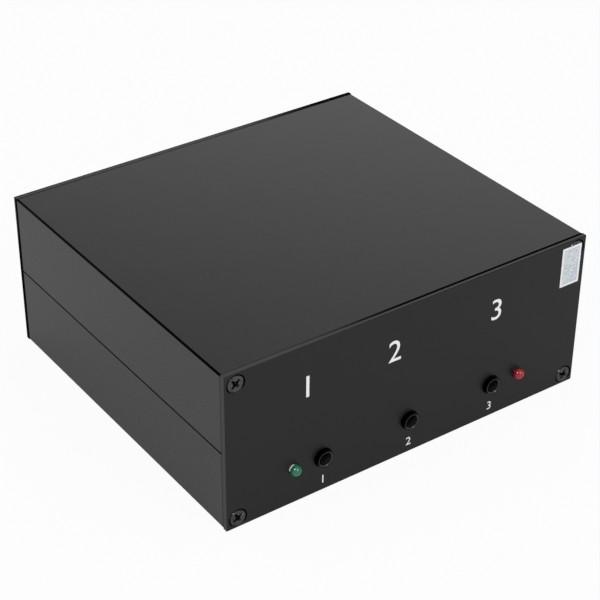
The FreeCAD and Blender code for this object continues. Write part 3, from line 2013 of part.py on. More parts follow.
doc.recompute()
for item in doc.Objects:
    if {"Invalid", "Error"} & set(item.State):
        raise ValueError(f"{item.Name} was not built: {item.State}")
for item in sub_parts:
    if item.Shape.isNull() or not item.Shape.isValid():
        raise ValueError(f"{item.Label} has no valid shape")

os.makedirs("parts", exist_ok=True)
for item in sub_parts:
    item.Shape.exportStep(f"parts/{item.Label}.step")
    print(f"{item.Label:32} {len(item.Shape.Solids)} {item.Shape.Volume:10.2f}")
print(len(sub_parts), "nodes")
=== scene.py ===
"""Looks of a coaxial antenna switch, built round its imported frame.

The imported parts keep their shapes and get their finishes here. Added to them are the
clear lamps, the panel screws with their recesses and threads, the threads of the large
sockets, the print on the front panel, the foil seal, and the studio with its camera.
Lengths in the classes are millimetres in the frame of the parts: the front panel faces
-Y, the sockets face +Y and the case stands on Z = 0.
"""

import logging
import math
from collections.abc import Callable, Iterator, Mapping
from contextlib import contextmanager
from dataclasses import dataclass
from enum import Enum

import bmesh
import bpy
from mathutils import Matrix, Vector

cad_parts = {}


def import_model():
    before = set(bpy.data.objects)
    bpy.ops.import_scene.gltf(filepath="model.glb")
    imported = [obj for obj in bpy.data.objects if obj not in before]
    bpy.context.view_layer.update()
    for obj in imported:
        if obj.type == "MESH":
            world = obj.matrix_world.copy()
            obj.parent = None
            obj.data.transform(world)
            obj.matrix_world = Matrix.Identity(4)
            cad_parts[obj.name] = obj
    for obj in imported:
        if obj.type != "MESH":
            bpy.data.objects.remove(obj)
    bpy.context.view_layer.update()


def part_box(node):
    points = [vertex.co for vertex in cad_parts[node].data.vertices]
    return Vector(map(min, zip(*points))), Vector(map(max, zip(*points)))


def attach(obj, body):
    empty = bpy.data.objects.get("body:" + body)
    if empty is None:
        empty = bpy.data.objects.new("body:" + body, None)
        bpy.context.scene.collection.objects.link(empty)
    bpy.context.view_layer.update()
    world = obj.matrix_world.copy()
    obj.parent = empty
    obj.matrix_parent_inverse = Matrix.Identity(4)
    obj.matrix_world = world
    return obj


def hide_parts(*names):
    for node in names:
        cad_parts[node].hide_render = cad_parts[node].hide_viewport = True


LOGGER = logging.getLogger("antenna_switch")
MM = 0.001
CASE_BODY = "case"
CASE_HALF_WIDTH = 55.0
CASE_HEIGHT = 44.5
# Black painted as shade into edges, gaps, countersinks and jack noses, and the colour of the
# anodising's random specks.
SHADE_AND_SPECK_BLACK = "020202"

Colour = tuple[float, float, float, float]
Triple = tuple[float, float, float]


def paint(code: str) -> Colour:
    """Turn a six-digit screen colour into a linear colour.

    Args:
        code: Red, green and blue as pairs of hexadecimal digits.

    Returns:
        The linear colour, with full alpha.
    """
    parts = [int(code[at : at + 2], 16) / 255 for at in (0, 2, 4)]
    linear = [p / 12.92 if p <= 0.04045 else ((p + 0.055) / 1.055) ** 2.4 for p in parts]
    return (linear[0], linear[1], linear[2], 1.0)


class Signal:
    """A number that varies over a surface, with its arithmetic written as operators."""

    def __init__(self, graph: "Graph", socket: bpy.types.NodeSocket) -> None:
        """Wrap an output socket of one of the graph's nodes."""
        self.graph = graph
        self.socket = socket

    def _maths(self, operation: str, *terms: "Signal | float") -> "Signal":
        """Add a Math node over the terms and return its result."""
        settings = {"operation": operation}
        return self.graph.signal("ShaderNodeMath", settings, dict(enumerate(terms)))

    def __add__(self, other: "Signal | float") -> "Signal":
        """Add."""
        return self._maths("ADD", self, other)

    def __radd__(self, other: float) -> "Signal":
        """Add to a plain number."""
        return self._maths("ADD", other, self)

    def __sub__(self, other: "Signal | float") -> "Signal":
        """Subtract."""
        return self._maths("SUBTRACT", self, other)

    def __rsub__(self, other: float) -> "Signal":
        """Subtract from a plain number."""
        return self._maths("SUBTRACT", other, self)

    def __mul__(self, other: "Signal | float") -> "Signal":
        """Multiply."""
        return self._maths("MULTIPLY", self, other)

    def __rmul__(self, other: float) -> "Signal":
        """Multiply a plain number."""
        return self._maths("MULTIPLY", other, self)

    def __truediv__(self, other: "Signal | float") -> "Signal":
        """Divide."""
        return self._maths("DIVIDE", self, other)

    def root(self) -> "Signal":
        """Return the square root."""
        return self._maths("SQRT", self)

    def __abs__(self) -> "Signal":
        """Drop the sign."""
        return self._maths("ABSOLUTE", self)

    def __mod__(self, other: float) -> "Signal":
        """Keep what is left over after whole steps, never negative."""
        return self._maths("FLOORED_MODULO", self, other)

    def most(self, other: "Signal | float") -> "Signal":
        """Return the larger of the two."""
        return self._maths("MAXIMUM", self, other)

    def least(self, other: "Signal | float") -> "Signal":
        """Return the smaller of the two."""
        return self._maths("MINIMUM", self, other)

    def share(self) -> "Signal":
        """Keep it between 0 and 1."""
        return self.least(1).most(0)

    def within(self, low: float, high: float, soft: float) -> "Signal":
        """Give 1 between two values and 0 outside them, with soft ends inside them."""
        return self.over(low, low + soft) * self.over(high, high - soft)

    def over(self, start: float, end: float) -> "Signal":
        """Rise smoothly from 0 to 1 between two values.

        Args:
            start: Value at which the result is 0.
            end: Value at which the result is 1, above or below the start.

        Returns:
            The eased step.
        """
        turned = start > end
        low, high = sorted((start, end))
        step = self.graph.signal(
            "ShaderNodeMapRange",
            {"interpolation_type": "SMOOTHSTEP"},
            {"Value": self, "From Min": low, "From Max": high},
        )
        return 1 - step if turned else step


Value = Signal | float | Colour | Triple | bpy.types.NodeSocket


class Graph:
    """The nodes of one material or of the world."""

    def __init__(self, owner: bpy.types.Material | bpy.types.World) -> None:
        """Clear the owner's node tree, ready for new nodes."""
        owner.use_nodes = True
        self.tree = owner.node_tree
        self.tree.nodes.clear()

    def node(
        self,
        kind: str,
        settings: Mapping[str, object] | None = None,
        sockets: Mapping[str | int, Value] | None = None,
    ) -> bpy.types.Node:
        """Add a node.

        Args:
            kind: Blender's name for the type of node.
            settings: The node's properties, set first; "stops" fills a colour ramp.
            sockets: Values or links of its inputs, by name or by number.

        Returns:
            The new node.
        """
        made = self.tree.nodes.new(kind)
        for name, value in (settings or {}).items():
            if name == "stops":
                self._fill_ramp(made.color_ramp, value)
            else:
                setattr(made, name, value)
        for name, value in (sockets or {}).items():
            socket = made.inputs[name]
            if isinstance(value, Signal):
                self.tree.links.new(value.socket, socket)
            elif isinstance(value, bpy.types.NodeSocket):
                self.tree.links.new(value, socket)
            else:
                socket.default_value = value
        return made

    @staticmethod
    def _fill_ramp(ramp: bpy.types.ColorRamp, stops: list[tuple[float, Colour]]) -> None:
        """Give a colour ramp its stops, as pairs of position and colour."""
        while len(ramp.elements) < len(stops):
            ramp.elements.new(1.0)
        for element, (position, colour) in zip(ramp.elements, stops):
            element.position = position
            element.color = colour

    def signal(
        self,
        kind: str,
        settings: Mapping[str, object] | None = None,
        sockets: Mapping[str | int, Value] | None = None,
        output: int | str = 0,
    ) -> Signal:
        """Add a node and wrap one of its outputs."""
        return Signal(self, self.node(kind, settings, sockets).outputs[output])

    def place(self, stretch: Triple = (1, 1, 1)) -> bpy.types.NodeSocket:
        """Give the place on the object, stretched for a grain that runs one way.

        Args:
            stretch: How long a feature is along X, Y and Z.

        Returns:
            The vector socket.
        """
        source = self.node("ShaderNodeTexCoord").outputs["Object"]
        scale = tuple(1 / long for long in stretch)
        mapping = self.node("ShaderNodeMapping", None, {"Vector": source, "Scale": scale})
        return mapping.outputs["Vector"]

    def axes(self) -> tuple[Signal, Signal, Signal]:
        """Give the place on the object as three signals in millimetres."""
        source = self.node("ShaderNodeTexCoord").outputs["Object"]
        parted = self.node("ShaderNodeSeparateXYZ", None, {"Vector": source})
        across, along, up = (Signal(self, socket) / MM for socket in parted.outputs)
        return across, along, up

    def noise(self, size: float, detail: float = 2.0, stretch: Triple = (1, 1, 1)) -> Signal:
        """Give soft noise round 0.

        Args:
            size: Size of its patches in millimetres.
            detail: How many finer layers it holds.
            stretch: How long its patches are along X, Y and Z.

        Returns:
            A signal between about -0.5 and 0.5.
        """
        sockets = {"Vector": self.place(stretch), "Scale": 1 / (size * MM), "Detail": detail}
        return self.signal("ShaderNodeTexNoise", None, sockets) - 0.5

    def blend(self, share: Signal | float, first: Value, second: Value) -> bpy.types.NodeSocket:
        """Mix two colours.

        Args:
            share: Share of the second colour.
            first: Colour where the share is 0.
            second: Colour where the share is 1.

        Returns:
            The colour socket.
        """
        made = self.node(
            "ShaderNodeMix", {"data_type": "RGBA"}, {0: share, 6: first, 7: second}
        )
        return made.outputs[2]

    def bump(self, height: Signal, depth: float) -> bpy.types.NodeSocket:
        """Turn a height between 0 and 1 into a normal.

        Args:
            height: The height over the surface.
            depth: Real depth of the relief in millimetres.

        Returns:
            The normal socket.
        """
        sockets = {"Height": height, "Distance": depth * MM, "Strength": 1.0}
        return self.node("ShaderNodeBump", None, sockets).outputs["Normal"]

    def finish(self, shader: bpy.types.Node, kind: str = "ShaderNodeOutputMaterial") -> None:
        """Link a shader to the output."""
        self.node(kind, None, {"Surface": shader.outputs[0]})

    def sight(self) -> tuple[Signal, Signal]:
        """Tell how a surface is looked at.

        Returns:
            1 for rays of the camera, and 1 for rays mirrored by or sent through a piece.
        """
        path = self.node("ShaderNodeLightPath").outputs
        camera, glossy, through = (
            Signal(self, path[name])
            for name in ("Is Camera Ray", "Is Glossy Ray", "Is Transmission Ray")
        )
        return camera, glossy.most(through) * (1 - camera)


@dataclass(frozen=True)
class Finish:
    """A surface that pieces can be given.

    Attributes:
        name: Plain name of the finish.
        colour: Screen colour.
        roughness: Roughness of the bare surface.
        shine: Specular level, 0.5 for common plastics.
    """

    name: str
    colour: str
    roughness: float = 0.5
    shine: float = 0.5

    def material(self) -> bpy.types.Material:
        """Return the material of this finish, made on its first use."""
        name = f"{self.name}_finish"
        made = bpy.data.materials.get(name)
        if made is None:
            made = bpy.data.materials.new(name)
            graph = Graph(made)
            graph.finish(self.shader(graph))
            made.diffuse_color = paint(self.colour)
        return made

    def shader(self, graph: Graph) -> bpy.types.Node:
        """Build the finish's shader; each kind of finish has its own."""
        raise NotImplementedError

    def principled(self, graph: Graph, **sockets: Value) -> bpy.types.Node:
        """Add the main shader, with underscores in socket names for spaces."""
        named = {"Specular IOR Level": self.shine}
        named.update({name.replace("_", " "): value for name, value in sockets.items()})
        return graph.node("ShaderNodeBsdfPrincipled", None, named)


@dataclass(frozen=True)
class AnodisedFinish(Finish):
    """Dyed black anodising on the shells' extrusion.

    The top is an even satin. The sides are mottled along the run of the extrusion, and their
    colours are painted lighter than the top's as light. The rounded long edges, the lower lip of
    the seam and the front end of the top are painted deep black as shade, and the upper lip of the
    seam is painted lighter as a highlight.

    Attributes:
        light: Screen colour that the tone wanders towards.
        flank: Screen colour of the sides, painted lighter than the top's as light they catch.
        flank_light: Screen colour that their tone wanders towards, also painted lighter.
        rubbed: Screen colour of the painted highlight on the upper lip of the seam.
        half_width: Half width of the case.
        height: Height of the case.
        edge: Rounding of the long edges.
        lip: Height of each lip of the seam.
        front: Front end of the shells.
        end: Length of the bevel on that end.
        end_fade: Where the painted shadow at the front end begins and is full, across the case.
    """

    light: str = "1c1c1d"
    flank: str = "1e1e1e"
    flank_light: str = "2c2c2c"
    rubbed: str = "5a5a5b"
    half_width: float = CASE_HALF_WIDTH
    height: float = CASE_HEIGHT
    edge: float = 0.5
    lip: float = 0.25
    front: float = -49.0
    end: float = 0.3
    end_fade: tuple[float, float] = (-42.0, 0.0)

    def shader(self, graph: Graph) -> bpy.types.Node:
        """Build the anodised shader."""
        across, along, up = graph.axes()
        flank = abs(across).over(self.half_width - 0.02, self.half_width - 0.01)
        clouds = graph.noise(9.0, 3.0, (1, 2, 1))
        mottle = graph.noise(1.6, 4.0, (1, 3, 1)) * flank
        pores = graph.noise(0.12, 1.0)
        specks = graph.noise(0.5, 0.0).over(0.27, 0.3) * flank
        tone = (clouds * 0.5 + mottle * 1.6 + pores * 0.3 + 0.5).share()
        # The sides take lighter colours than the top: painted light for the brighter light they
        # catch.
        dark = graph.blend(flank, paint(self.colour), paint(self.flank))
        light = graph.blend(flank, paint(self.light), paint(self.flank_light))
        black, rubbed = self._edges(across, along, up)
        # Painted highlight: the seam's upper lip takes a lighter colour.
        base = graph.blend(rubbed, graph.blend(tone, dark, light), paint(self.rubbed))
        return self.principled(
            graph,
            # Painted shade: the masked edges turn deep black and metallic; the specks are random
            # marks.
            Base_Color=graph.blend(black.most(specks), base, paint(SHADE_AND_SPECK_BLACK)),
            Metallic=black,
            Roughness=clouds * 0.05 + mottle * 0.22 + pores * 0.05 + self.roughness,
            Normal=graph.bump(mottle + pores * 0.5, 0.006),
        )

    def _edges(self, across: Signal, along: Signal, up: Signal) -> tuple[Signal, Signal]:
        """Mask the edges painted black as shade and the lip painted lighter as a highlight, by their
        place.
        """
        wide = abs(across)
        middle = self.height / 2
        # Painted shade on the long edges, the seam's lower lip and the top's front end; painted
        # highlight on the upper lip.
        side = wide.over(self.half_width - self.edge, self.half_width - self.edge * 0.9)
        cap = abs(up - middle).over(middle - self.edge, middle - self.edge * 0.9)
        skin = wide.over(self.half_width - self.lip * 1.4, self.half_width - self.lip * 1.2)
        shaded_lower_lip = skin * up.within(middle - self.lip, middle, 0.01)
        highlit_upper_lip = skin * up.within(middle, middle + self.lip, 0.01)
        end = along.over(self.front + self.end, self.front + self.end * 0.9)
        roof = up.over(self.height - self.end - 0.01, self.height - self.end + 0.02)
        end = end * roof * across.over(*self.end_fade)
        return (side * cap).most(shaded_lower_lip).most(end), highlit_upper_lip


@dataclass(frozen=True)
class PanelFinish(Finish):
    """Smooth black satin on a milled panel, with a painted highlight along its rim.

    Painted deep black as shade are the upper parts of the countersinks, the sides of the rear
    panel, and a strip along the top edge: its inner half on the front panel, its outer half on
    the rear panel.

    Attributes:
        light: Screen colour that the tone wanders towards.
        rim_colour: Screen colour of the painted highlight on the rim and edges.
        half_width: Half width of the panel.
        height: Height of the panel.
        rim: Width of the painted highlight along the rim.
        inner: Place of the panels' inner faces from the middle of the case.
        outer: Place of their outer faces.
        sink: Radius of the countersunk holes.
        sink_inset: Their middles from the sides, and from the top or the bottom.
        shadow: Width of the painted shadow strip along the top edge.
        shade: Width of the duller painted-shade strip along the outer side of the top edge.
        dulled: How black that duller painted shade is.
        shadow_fade: Where the front panel's painted shadow strip begins and is full, across it.
        rear_fade: Where the rear panel's painted shadow strip begins to widen and is as wide as the
            edge.
        rear_sides: Distances from the top between which the rear panel's sides turn black
        with painted shade in their whole width.
    """

    light: str = "151515"
    rim_colour: str = "353536"
    half_width: float = CASE_HALF_WIDTH
    height: float = CASE_HEIGHT
    rim: float = 0.06
    inner: float = 49.0
    outer: float = 50.5
    sink: float = 2.6
    sink_inset: tuple[float, float] = (3.2, 2.8)
    shadow: float = 0.55
    shade: float = 0.42
    dulled: float = 0.55
    shadow_fade: tuple[float, float] = (-42.0, 0.0)
    rear_fade: tuple[float, float] = (0.0, 52.0)
    rear_sides: tuple[float, float] = (8.0, 14.0)

    def shader(self, graph: Graph) -> bpy.types.Node:
        """Build the panel's shader."""
        across, along, up = graph.axes()
        pores = graph.noise(0.15, 1.0)
        clouds = graph.noise(14.0)
        tone = (clouds * 0.6 + pores * 0.5 + 0.5).share()
        base = graph.blend(tone, paint(self.colour), paint(self.light))
        # Painted highlight along the rim and the edge faces, uneven with the pores.
        rubbed = self._rim(across, up) * (pores * 0.6 + 0.75)
        base = graph.blend(rubbed, base, paint(self.rim_colour))
        # Painted shade: the top edge strips, the countersinks and the rear panel's sides turn deep
        # black and metallic.
        black = self._top_edge(across, along, up).most(self._sinks(across, up))
        black = black.most(self._rear_sides(across, along, up))
        return self.principled(
            graph,
            Base_Color=graph.blend(black, base, paint(SHADE_AND_SPECK_BLACK)),
            Metallic=black,
            Roughness=(clouds * 0.06 + pores * 0.05 + self.roughness).most(black),
            Normal=graph.bump(pores, 0.003),
        )

    def _rim(self, across: Signal, up: Signal) -> Signal:
        """Mask the rim and the edges that take the painted highlight."""
        middle = self.height / 2
        side = abs(across).over(self.half_width - self.rim * 1.3, self.half_width - self.rim)
        return side.most(abs(up - middle).over(middle - self.rim * 1.3, middle - self.rim))

    def _top_edge(self, across: Signal, along: Signal, up: Signal) -> Signal:
        """Mask the painted shadow strips along the top edge of either panel."""
        deep = abs(along)
        rear = along.over(0, 1)
        inside = deep.over(self.inner + self.shadow, self.inner + self.shadow - 0.1)
        outside = deep.over(self.outer - self.shadow, self.outer - self.shadow + 0.1)
        dull = deep.over(self.outer - self.shade, self.outer - self.shade + 0.1)
        front_strip = inside * (1 - rear) * across.over(*self.shadow_fade)
        rear_strip = rear * outside.most(across.over(*self.rear_fade))
        roof = up.over(self.height - 0.05, self.height - 0.03)
        return roof * front_strip.most(rear_strip).most(dull * self.dulled)

    def _rear_sides(self, across: Signal, along: Signal, up: Signal) -> Signal:
        """Mask the painted shade on the sides of the rear panel, but for their outer half near the
        top.
        """
        side = abs(across).over(self.half_width - 0.04, self.half_width - 0.02)
        half = along.over(self.outer - 0.6, self.outer - 0.7)
        low = up.over(*(self.height - depth for depth in self.rear_sides))
        return side * along.over(0, 1) * half.most(low)

    def _sinks(self, across: Signal, up: Signal) -> Signal:
        """Mask the upper part of the countersunk holes, painted black as shade round the screws."""
        beside = abs(across) - (self.half_width - self.sink_inset[0])
        rise = self.height / 2 - self.sink_inset[1]
        above = up - self.height / 2
        above = above + rise - above.over(0, 0.1) * (2 * rise)
        square = beside * beside + above * above
        return square.over(self.sink**2, (self.sink - 0.04) ** 2) * above.over(-2.0, -1.4)


@dataclass(frozen=True)
class MouldedFinish(Finish):
    """Moulded plastic with a faint flow pattern and a fine spark-eroded grain.

    Attributes:
        second: Screen colour that the first one wanders towards.
        grain: Size of the grain.
        depth: Depth of the grain.
        coat: Weight of a glossy skin.
        metal: Screen colour of what is metal in the same piece, or of the painted shade on the jacks'
            noses.
    """

    second: str = "202020"
    grain: float = 0.12
    depth: float = 0.003
    coat: float = 0.0
    metal: str = "b0b0ae"

    def mask(self, graph: Graph) -> Signal | None:
        """Mask what is metal in the piece, if anything is, or the painted shade on the jacks' noses.
        """
        return None

    def shader(self, graph: Graph) -> bpy.types.Node:
        """Build the moulded plastic's shader."""
        flow = graph.noise(2.4, 3.0)
        sparks = graph.noise(self.grain, 1.0)
        tone = (flow * 0.9 + sparks * 0.4 + 0.5).share()
        base = graph.blend(tone, paint(self.colour), paint(self.second))
        metal = self.mask(graph)
        if metal is not None:
            base = graph.blend(metal, base, paint(self.metal))
        return self.principled(
            graph,
            Base_Color=base,
            Metallic=0.0 if metal is None else metal,
            Roughness=flow * 0.1 + sparks * 0.08 + self.roughness,
            Coat_Weight=self.coat if metal is None else (1 - metal) * self.coat,
            Coat_Roughness=0.08,
            Normal=graph.bump(sparks, self.depth),
        )


@dataclass(frozen=True)
class NoseFinish(MouldedFinish):
    """Moulded plastic of the jacks, painted deep black as shade round the edge of each nose.

    Attributes:
        pitch: Spacing of the jacks.
        row: Middle of the row of jacks across the case.
        level: Middle of the jacks above the floor.
        dull: Radii between which the face of a nose turns black with painted shade.
    """

    # Painted shade: deep black and metallic on each nose's face round the bore.
    metal: str = SHADE_AND_SPECK_BLACK
    pitch: float = 26.5
    row: float = -0.5
    level: float = 10.0
    dull: tuple[float, float] = (2.08, 2.2)

    def mask(self, graph: Graph) -> Signal:
        """Mask the painted shade outside the bright edge of each bore."""
        across, _, up = graph.axes()
        beside = (across - self.row + self.pitch / 2) % self.pitch - self.pitch / 2
        above = up - self.level
        return (beside * beside + above * above).root().over(*self.dull)


@dataclass(frozen=True)
class LeadedFinish(MouldedFinish):
    """Moulded part with bare metal legs below it and bare metal on top.

    Attributes:
        legs: Level above the floor below which it is metal.
        top: Level above the floor above which it is metal.
        soft: Width of the change at either level.
    """

    legs: float = 0.0
    top: float = 100.0
    soft: float = 0.02

    def mask(self, graph: Graph) -> Signal:
        """Mask the legs and the top."""
        _, _, up = graph.axes()
        legs = up.over(self.legs, self.legs - self.soft)
        return legs.most(up.over(self.top, self.top + self.soft))


class Lay(Enum):
    """Direction in which tool marks run on a metal piece."""

    NONE = (1, 1, 1)
    ALONG = (1, 12, 1)
    UPRIGHT = (1, 1, 12)
    TURNED = (12, 0.6, 12)


@dataclass(frozen=True)
class MetalFinish(Finish):
    """Bare or plated metal with tool marks and slightly uneven tarnish.

    Attributes:
        tarnish: Screen colour of the tarnished places.
        lay: Direction of the tool marks.
        marks: Spacing of the tool marks.
        depth: Depth of the tool marks.
    """

    tarnish: str = "8a8a86"
    lay: Lay = Lay.NONE
    marks: float = 0.08
    depth: float = 0.002

    def shader(self, graph: Graph) -> bpy.types.Node:
        """Build the metal's shader."""
        marks = graph.noise(self.marks, 2.0, self.lay.value)
        patches = graph.noise(1.8, 4.0)
        share = (patches * 1.6 + marks * 0.5 + 0.35).share()
        metal = graph.blend(share, paint(self.colour), paint(self.tarnish))
        return self.principled(
            graph,
            Base_Color=self.soil(graph, metal),
            Metallic=1.0,
            Roughness=patches * 0.12 + marks * 0.15 + self.roughness,
            Normal=graph.bump(marks, self.depth),
        )

    def soil(self, graph: Graph, metal: bpy.types.NodeSocket) -> bpy.types.NodeSocket:
        """Darken the metal's colour with painted shade where a kind of metal needs it; plain metal
        gets none.
        """
        return metal


@dataclass(frozen=True)
class ScrewFinish(MetalFinish):
    """Black oxide on steel, plain on the head, with painted shade blackening the recess and the
    shank.

    Attributes:
        face: Place of both panels' faces from the middle of the case.
        sooty: Depths below the face between which the metal turns black with painted shade.
        soot: Screen colour of that painted shade.
    """

    face: float = 50.5
    sooty: tuple[float, float] = (0.12, 0.5)
    soot: str = "060606"

    def soil(self, graph: Graph, metal: bpy.types.NodeSocket) -> bpy.types.NodeSocket:
        """Blacken the recess and the shank with painted shade."""
        _, along, _ = graph.axes()
        share = (self.face - abs(along)).over(*self.sooty) * 0.9
        return graph.blend(share, metal, paint(self.soot))


@dataclass(frozen=True)
class ResinFinish(Finish):
    """Clear tinted epoxy of a lamp, with faint flow lines, painted shade and a painted highlight.

    Attributes:
        deep: Screen colour of the deeper tint, also painted near the root as shade.
        clear: Share of light that goes through.
        pale: Screen colour of the painted highlight, a glowing crescent near the root on its upper
            left.
        middle: Middle of the lamp across the case and above the floor.
        root: Front of the panel, from which the painted shade rises and the painted highlight is
            measured.
        crescent: How full the painted highlight is.
        lean: How far up and left of the middle the painted highlight begins and is full.
    """

    deep: str = "003020"
    clear: float = 0.5
    pale: str = "d2efe2"
    middle: tuple[float, float] = (0.0, 10.4)
    root: float = -50.5
    crescent: float = 0.0
    lean: tuple[float, float] = (1.04, 1.24)

    def shader(self, graph: Graph) -> bpy.types.Node:
        """Build the resin's shader."""
        flow = graph.noise(0.7, 2.0, (1, 2.5, 1))
        across, along, up = graph.axes()
        # Painted shade: the tint deepens over the last 1.3 mm towards the panel.
        root = along.over(self.root - 1.3, self.root)
        share = (flow * 2.6 + root * 0.8 + 0.35).share()
        tint = graph.blend(share, paint(self.colour), paint(self.deep))
        # Painted highlight: a pale crescent, which also glows by emission though the lamp is unlit.
        pale = self._crescent(across, along, up)
        return self.principled(
            graph,
            Base_Color=graph.blend(pale, tint, paint(self.pale)),
            Roughness=flow * 0.06 + self.roughness,
            Emission_Color=graph.blend(pale, paint("000000"), paint(self.pale)),
            Emission_Strength=0.3,
            Transmission_Weight=self.clear,
            IOR=1.5,
            Coat_Weight=1.0,
            Coat_Roughness=0.03,
            Normal=graph.bump(flow, 0.01),
        )

    def _crescent(self, across: Signal, along: Signal, up: Signal) -> Signal:
        """Mask the painted highlight, a pale crescent on the stretch from 0.1 to 0.6 in front of the
        root.
        """
        slant = (up - self.middle[1] - (across - self.middle[0])) * math.sqrt(0.5)
        near = along.over(self.root - 0.1, self.root - 0.2)
        far = along.over(self.root - 0.6, self.root - 0.45)
        return near * far * slant.over(*self.lean) * self.crescent


@dataclass(frozen=True)
class InkFinish(Finish):
    """White screen-printed ink with pinholes and a faintly uneven film.

    Attributes:
        thin: Screen colour where the film is thin.
        pinhole: Screen colour of the pinholes.
    """

    thin: str = "e2e3e2"
    pinhole: str = "909090"

    def shader(self, graph: Graph) -> bpy.types.Node:
        """Build the ink's shader."""
        film = graph.noise(0.5, 3.0)
        holes = graph.noise(0.11, 1.0).over(0.12, 0.2)
        base = graph.blend(film + 0.5, paint(self.colour), paint(self.thin))
        return self.principled(
            graph,
            Base_Color=graph.blend(holes * 0.25, base, paint(self.pinhole)),
            Roughness=film * 0.15 + self.roughness,
            Normal=graph.bump(film, 0.006),
        )


@dataclass(frozen=True)
class FoilFinish(Finish):
    """Silvery foil of a seal, broken into small facets that catch light unevenly.

    Attributes:
        tints: Screen colours that the facets wander through, from dark to light.
        facet: Size of a facet.
    """

    tints: tuple[str, str, str] = ("a9b4be", "ccd3da", "eff2f4")
    facet: float = 0.24

    def shader(self, graph: Graph) -> bpy.types.Node:
        """Build the foil's shader."""
        sockets = {"Vector": graph.place(), "Scale": 1 / (self.facet * MM)}
        cells = graph.signal("ShaderNodeTexVoronoi", None, sockets, "Color")
        value = graph.signal("ShaderNodeSeparateColor", None, {0: cells})
        drift = graph.noise(1.1, 3.0)
        stops = [(step / 2, paint(tint)) for step, tint in enumerate(self.tints)]
        share = (value * 0.9 + drift * 0.6 + 0.05).share()
        ramp = graph.node("ShaderNodeValToRGB", {"stops": stops}, {"Fac": share})
        return self.principled(
            graph,
            Base_Color=ramp.outputs["Color"],
            Metallic=0.2,
            Roughness=value * 0.15 + self.roughness,
            Normal=graph.bump(value * 0.3 + drift, 0.02),
        )


@dataclass(frozen=True)
class BoardFinish(Finish):
    """Glass-fibre board under solder mask, with tracks and plated holes showing through.

    Attributes:
        weave: Screen colour that the mask wanders towards over the weave.
        track_colour: Screen colour over copper.
        grid: Spacing of the tracks.
        track: Distances from a track's middle at which its edge begins and is full.
    """

    weave: str = "134a2a"
    track_colour: str = "2b7a48"
    grid: float = 2.54
    track: tuple[float, float] = (0.42, 0.34)

    def shader(self, graph: Graph) -> bpy.types.Node:
        """Build the board's shader."""
        across, along, _ = graph.axes()
        weave = graph.noise(0.4)
        zone = graph.noise(11.0, 0.0)
        runs, rungs = (
            abs(place % self.grid - self.grid / 2).over(*self.track) for place in (across, along)
        )
        pick = zone.over(-0.02, 0.02)
        copper = runs * pick + rungs * (1 - pick)
        base = graph.blend(weave + 0.5, paint(self.colour), paint(self.weave))
        return self.principled(
            graph,
            Base_Color=graph.blend(copper, base, paint(self.track_colour)),
            Roughness=weave * 0.15 + self.roughness,
            Normal=graph.bump(copper + weave * 0.1, 0.035),
        )


@dataclass(frozen=True)
class WindingFinish(Finish):
    """Enamelled wire laid turn by turn on a bobbin.

    Attributes:
        gap: Screen colour between the turns.
        wire: Spacing of the turns, which lie one above the other.
    """

    gap: str = "4a1d0c"
    wire: float = 0.14

    def shader(self, graph: Graph) -> bpy.types.Node:
        """Build the winding's shader."""
        _, _, up = graph.axes()
        turn = abs(up % self.wire - self.wire / 2) / (self.wire / 2)
        drift = graph.noise(0.6, 2.0, (4, 4, 1))
        return self.principled(
            graph,
            Base_Color=graph.blend(turn * 0.7 + drift * 0.5, paint(self.colour), paint(self.gap)),
            Metallic=0.8,
            Roughness=drift * 0.2 + self.roughness,
            Normal=graph.bump(1 - turn, 0.05),
        )


@dataclass(frozen=True)
class BandedFinish(Finish):
    """Lacquered resistor bodies with plain value rings across X.

    Attributes:
        second: Screen colour that the lacquer wanders towards.
        lead: Screen colour of the bare leads.
        middle: Middle of the bodies across the case.
        rings: Place of each ring from the middle, and its screen colour.
        ring: Width of a ring.
        half: Half length of a body, outside which its leads are bare.
    """

    second: str = "6f93a8"
    lead: str = "b4b4b2"
    middle: float = 28.0
    rings: tuple[tuple[float, str], ...] = (
        (-2.0, "5a2a12"),
        (-1.0, "151515"),
        (0.0, "b8321c"),
        (2.0, "a5823a"),
    )
    ring: float = 0.45
    half: float = 3.25

    def shader(self, graph: Graph) -> bpy.types.Node:
        """Build the resistors' shader."""
        across, _, _ = graph.axes()
        film = graph.noise(0.5)
        base = graph.blend(film + 0.5, paint(self.colour), paint(self.second))
        for spot, code in self.rings:
            near = abs(across - (self.middle + spot)).over(self.ring / 2 + 0.05, self.ring / 2)
            base = graph.blend(near, base, paint(code))
        lead = abs(across - self.middle).over(self.half + 0.01, self.half + 0.03)
        return self.principled(
            graph,
            Base_Color=graph.blend(lead, base, paint(self.lead)),
            Metallic=lead,
            Roughness=film * 0.15 + self.roughness,
            Normal=graph.bump(film, 0.02),
        )


CASE = AnodisedFinish("case_anodising", "0c0c0c", roughness=0.27, shine=0.5)
PANEL = PanelFinish("panel_satin", "0e0e0e", roughness=0.42, shine=0.4)
BLACK_OXIDE = ScrewFinish("black_oxide", "6a6a6c", 0.1, tarnish="404042", lay=Lay.TURNED)
GLOSS_BLACK = MouldedFinish("gloss_black_plastic", "0b0b0b", 0.22, second="141414", coat=0.5)
NOSE_BLACK = NoseFinish("jack_plastic", "1a1a1a", 0.26, second="262626", coat=0.45)
MATT_BLACK = MouldedFinish("matt_black_plastic", "141414", 0.5, second="222222")
WHITE_PLASTIC = MouldedFinish("white_fluoroplastic", "e9e7df", 0.38, second="d9d6ca")
BRONZE = MetalFinish("spring_bronze", "b98a4e", 0.28, tarnish="8c6232", lay=Lay.ALONG)
SILVER = MetalFinish("silver_plating", "d6d4ce", 0.2, tarnish="a8a49a", lay=Lay.ALONG)
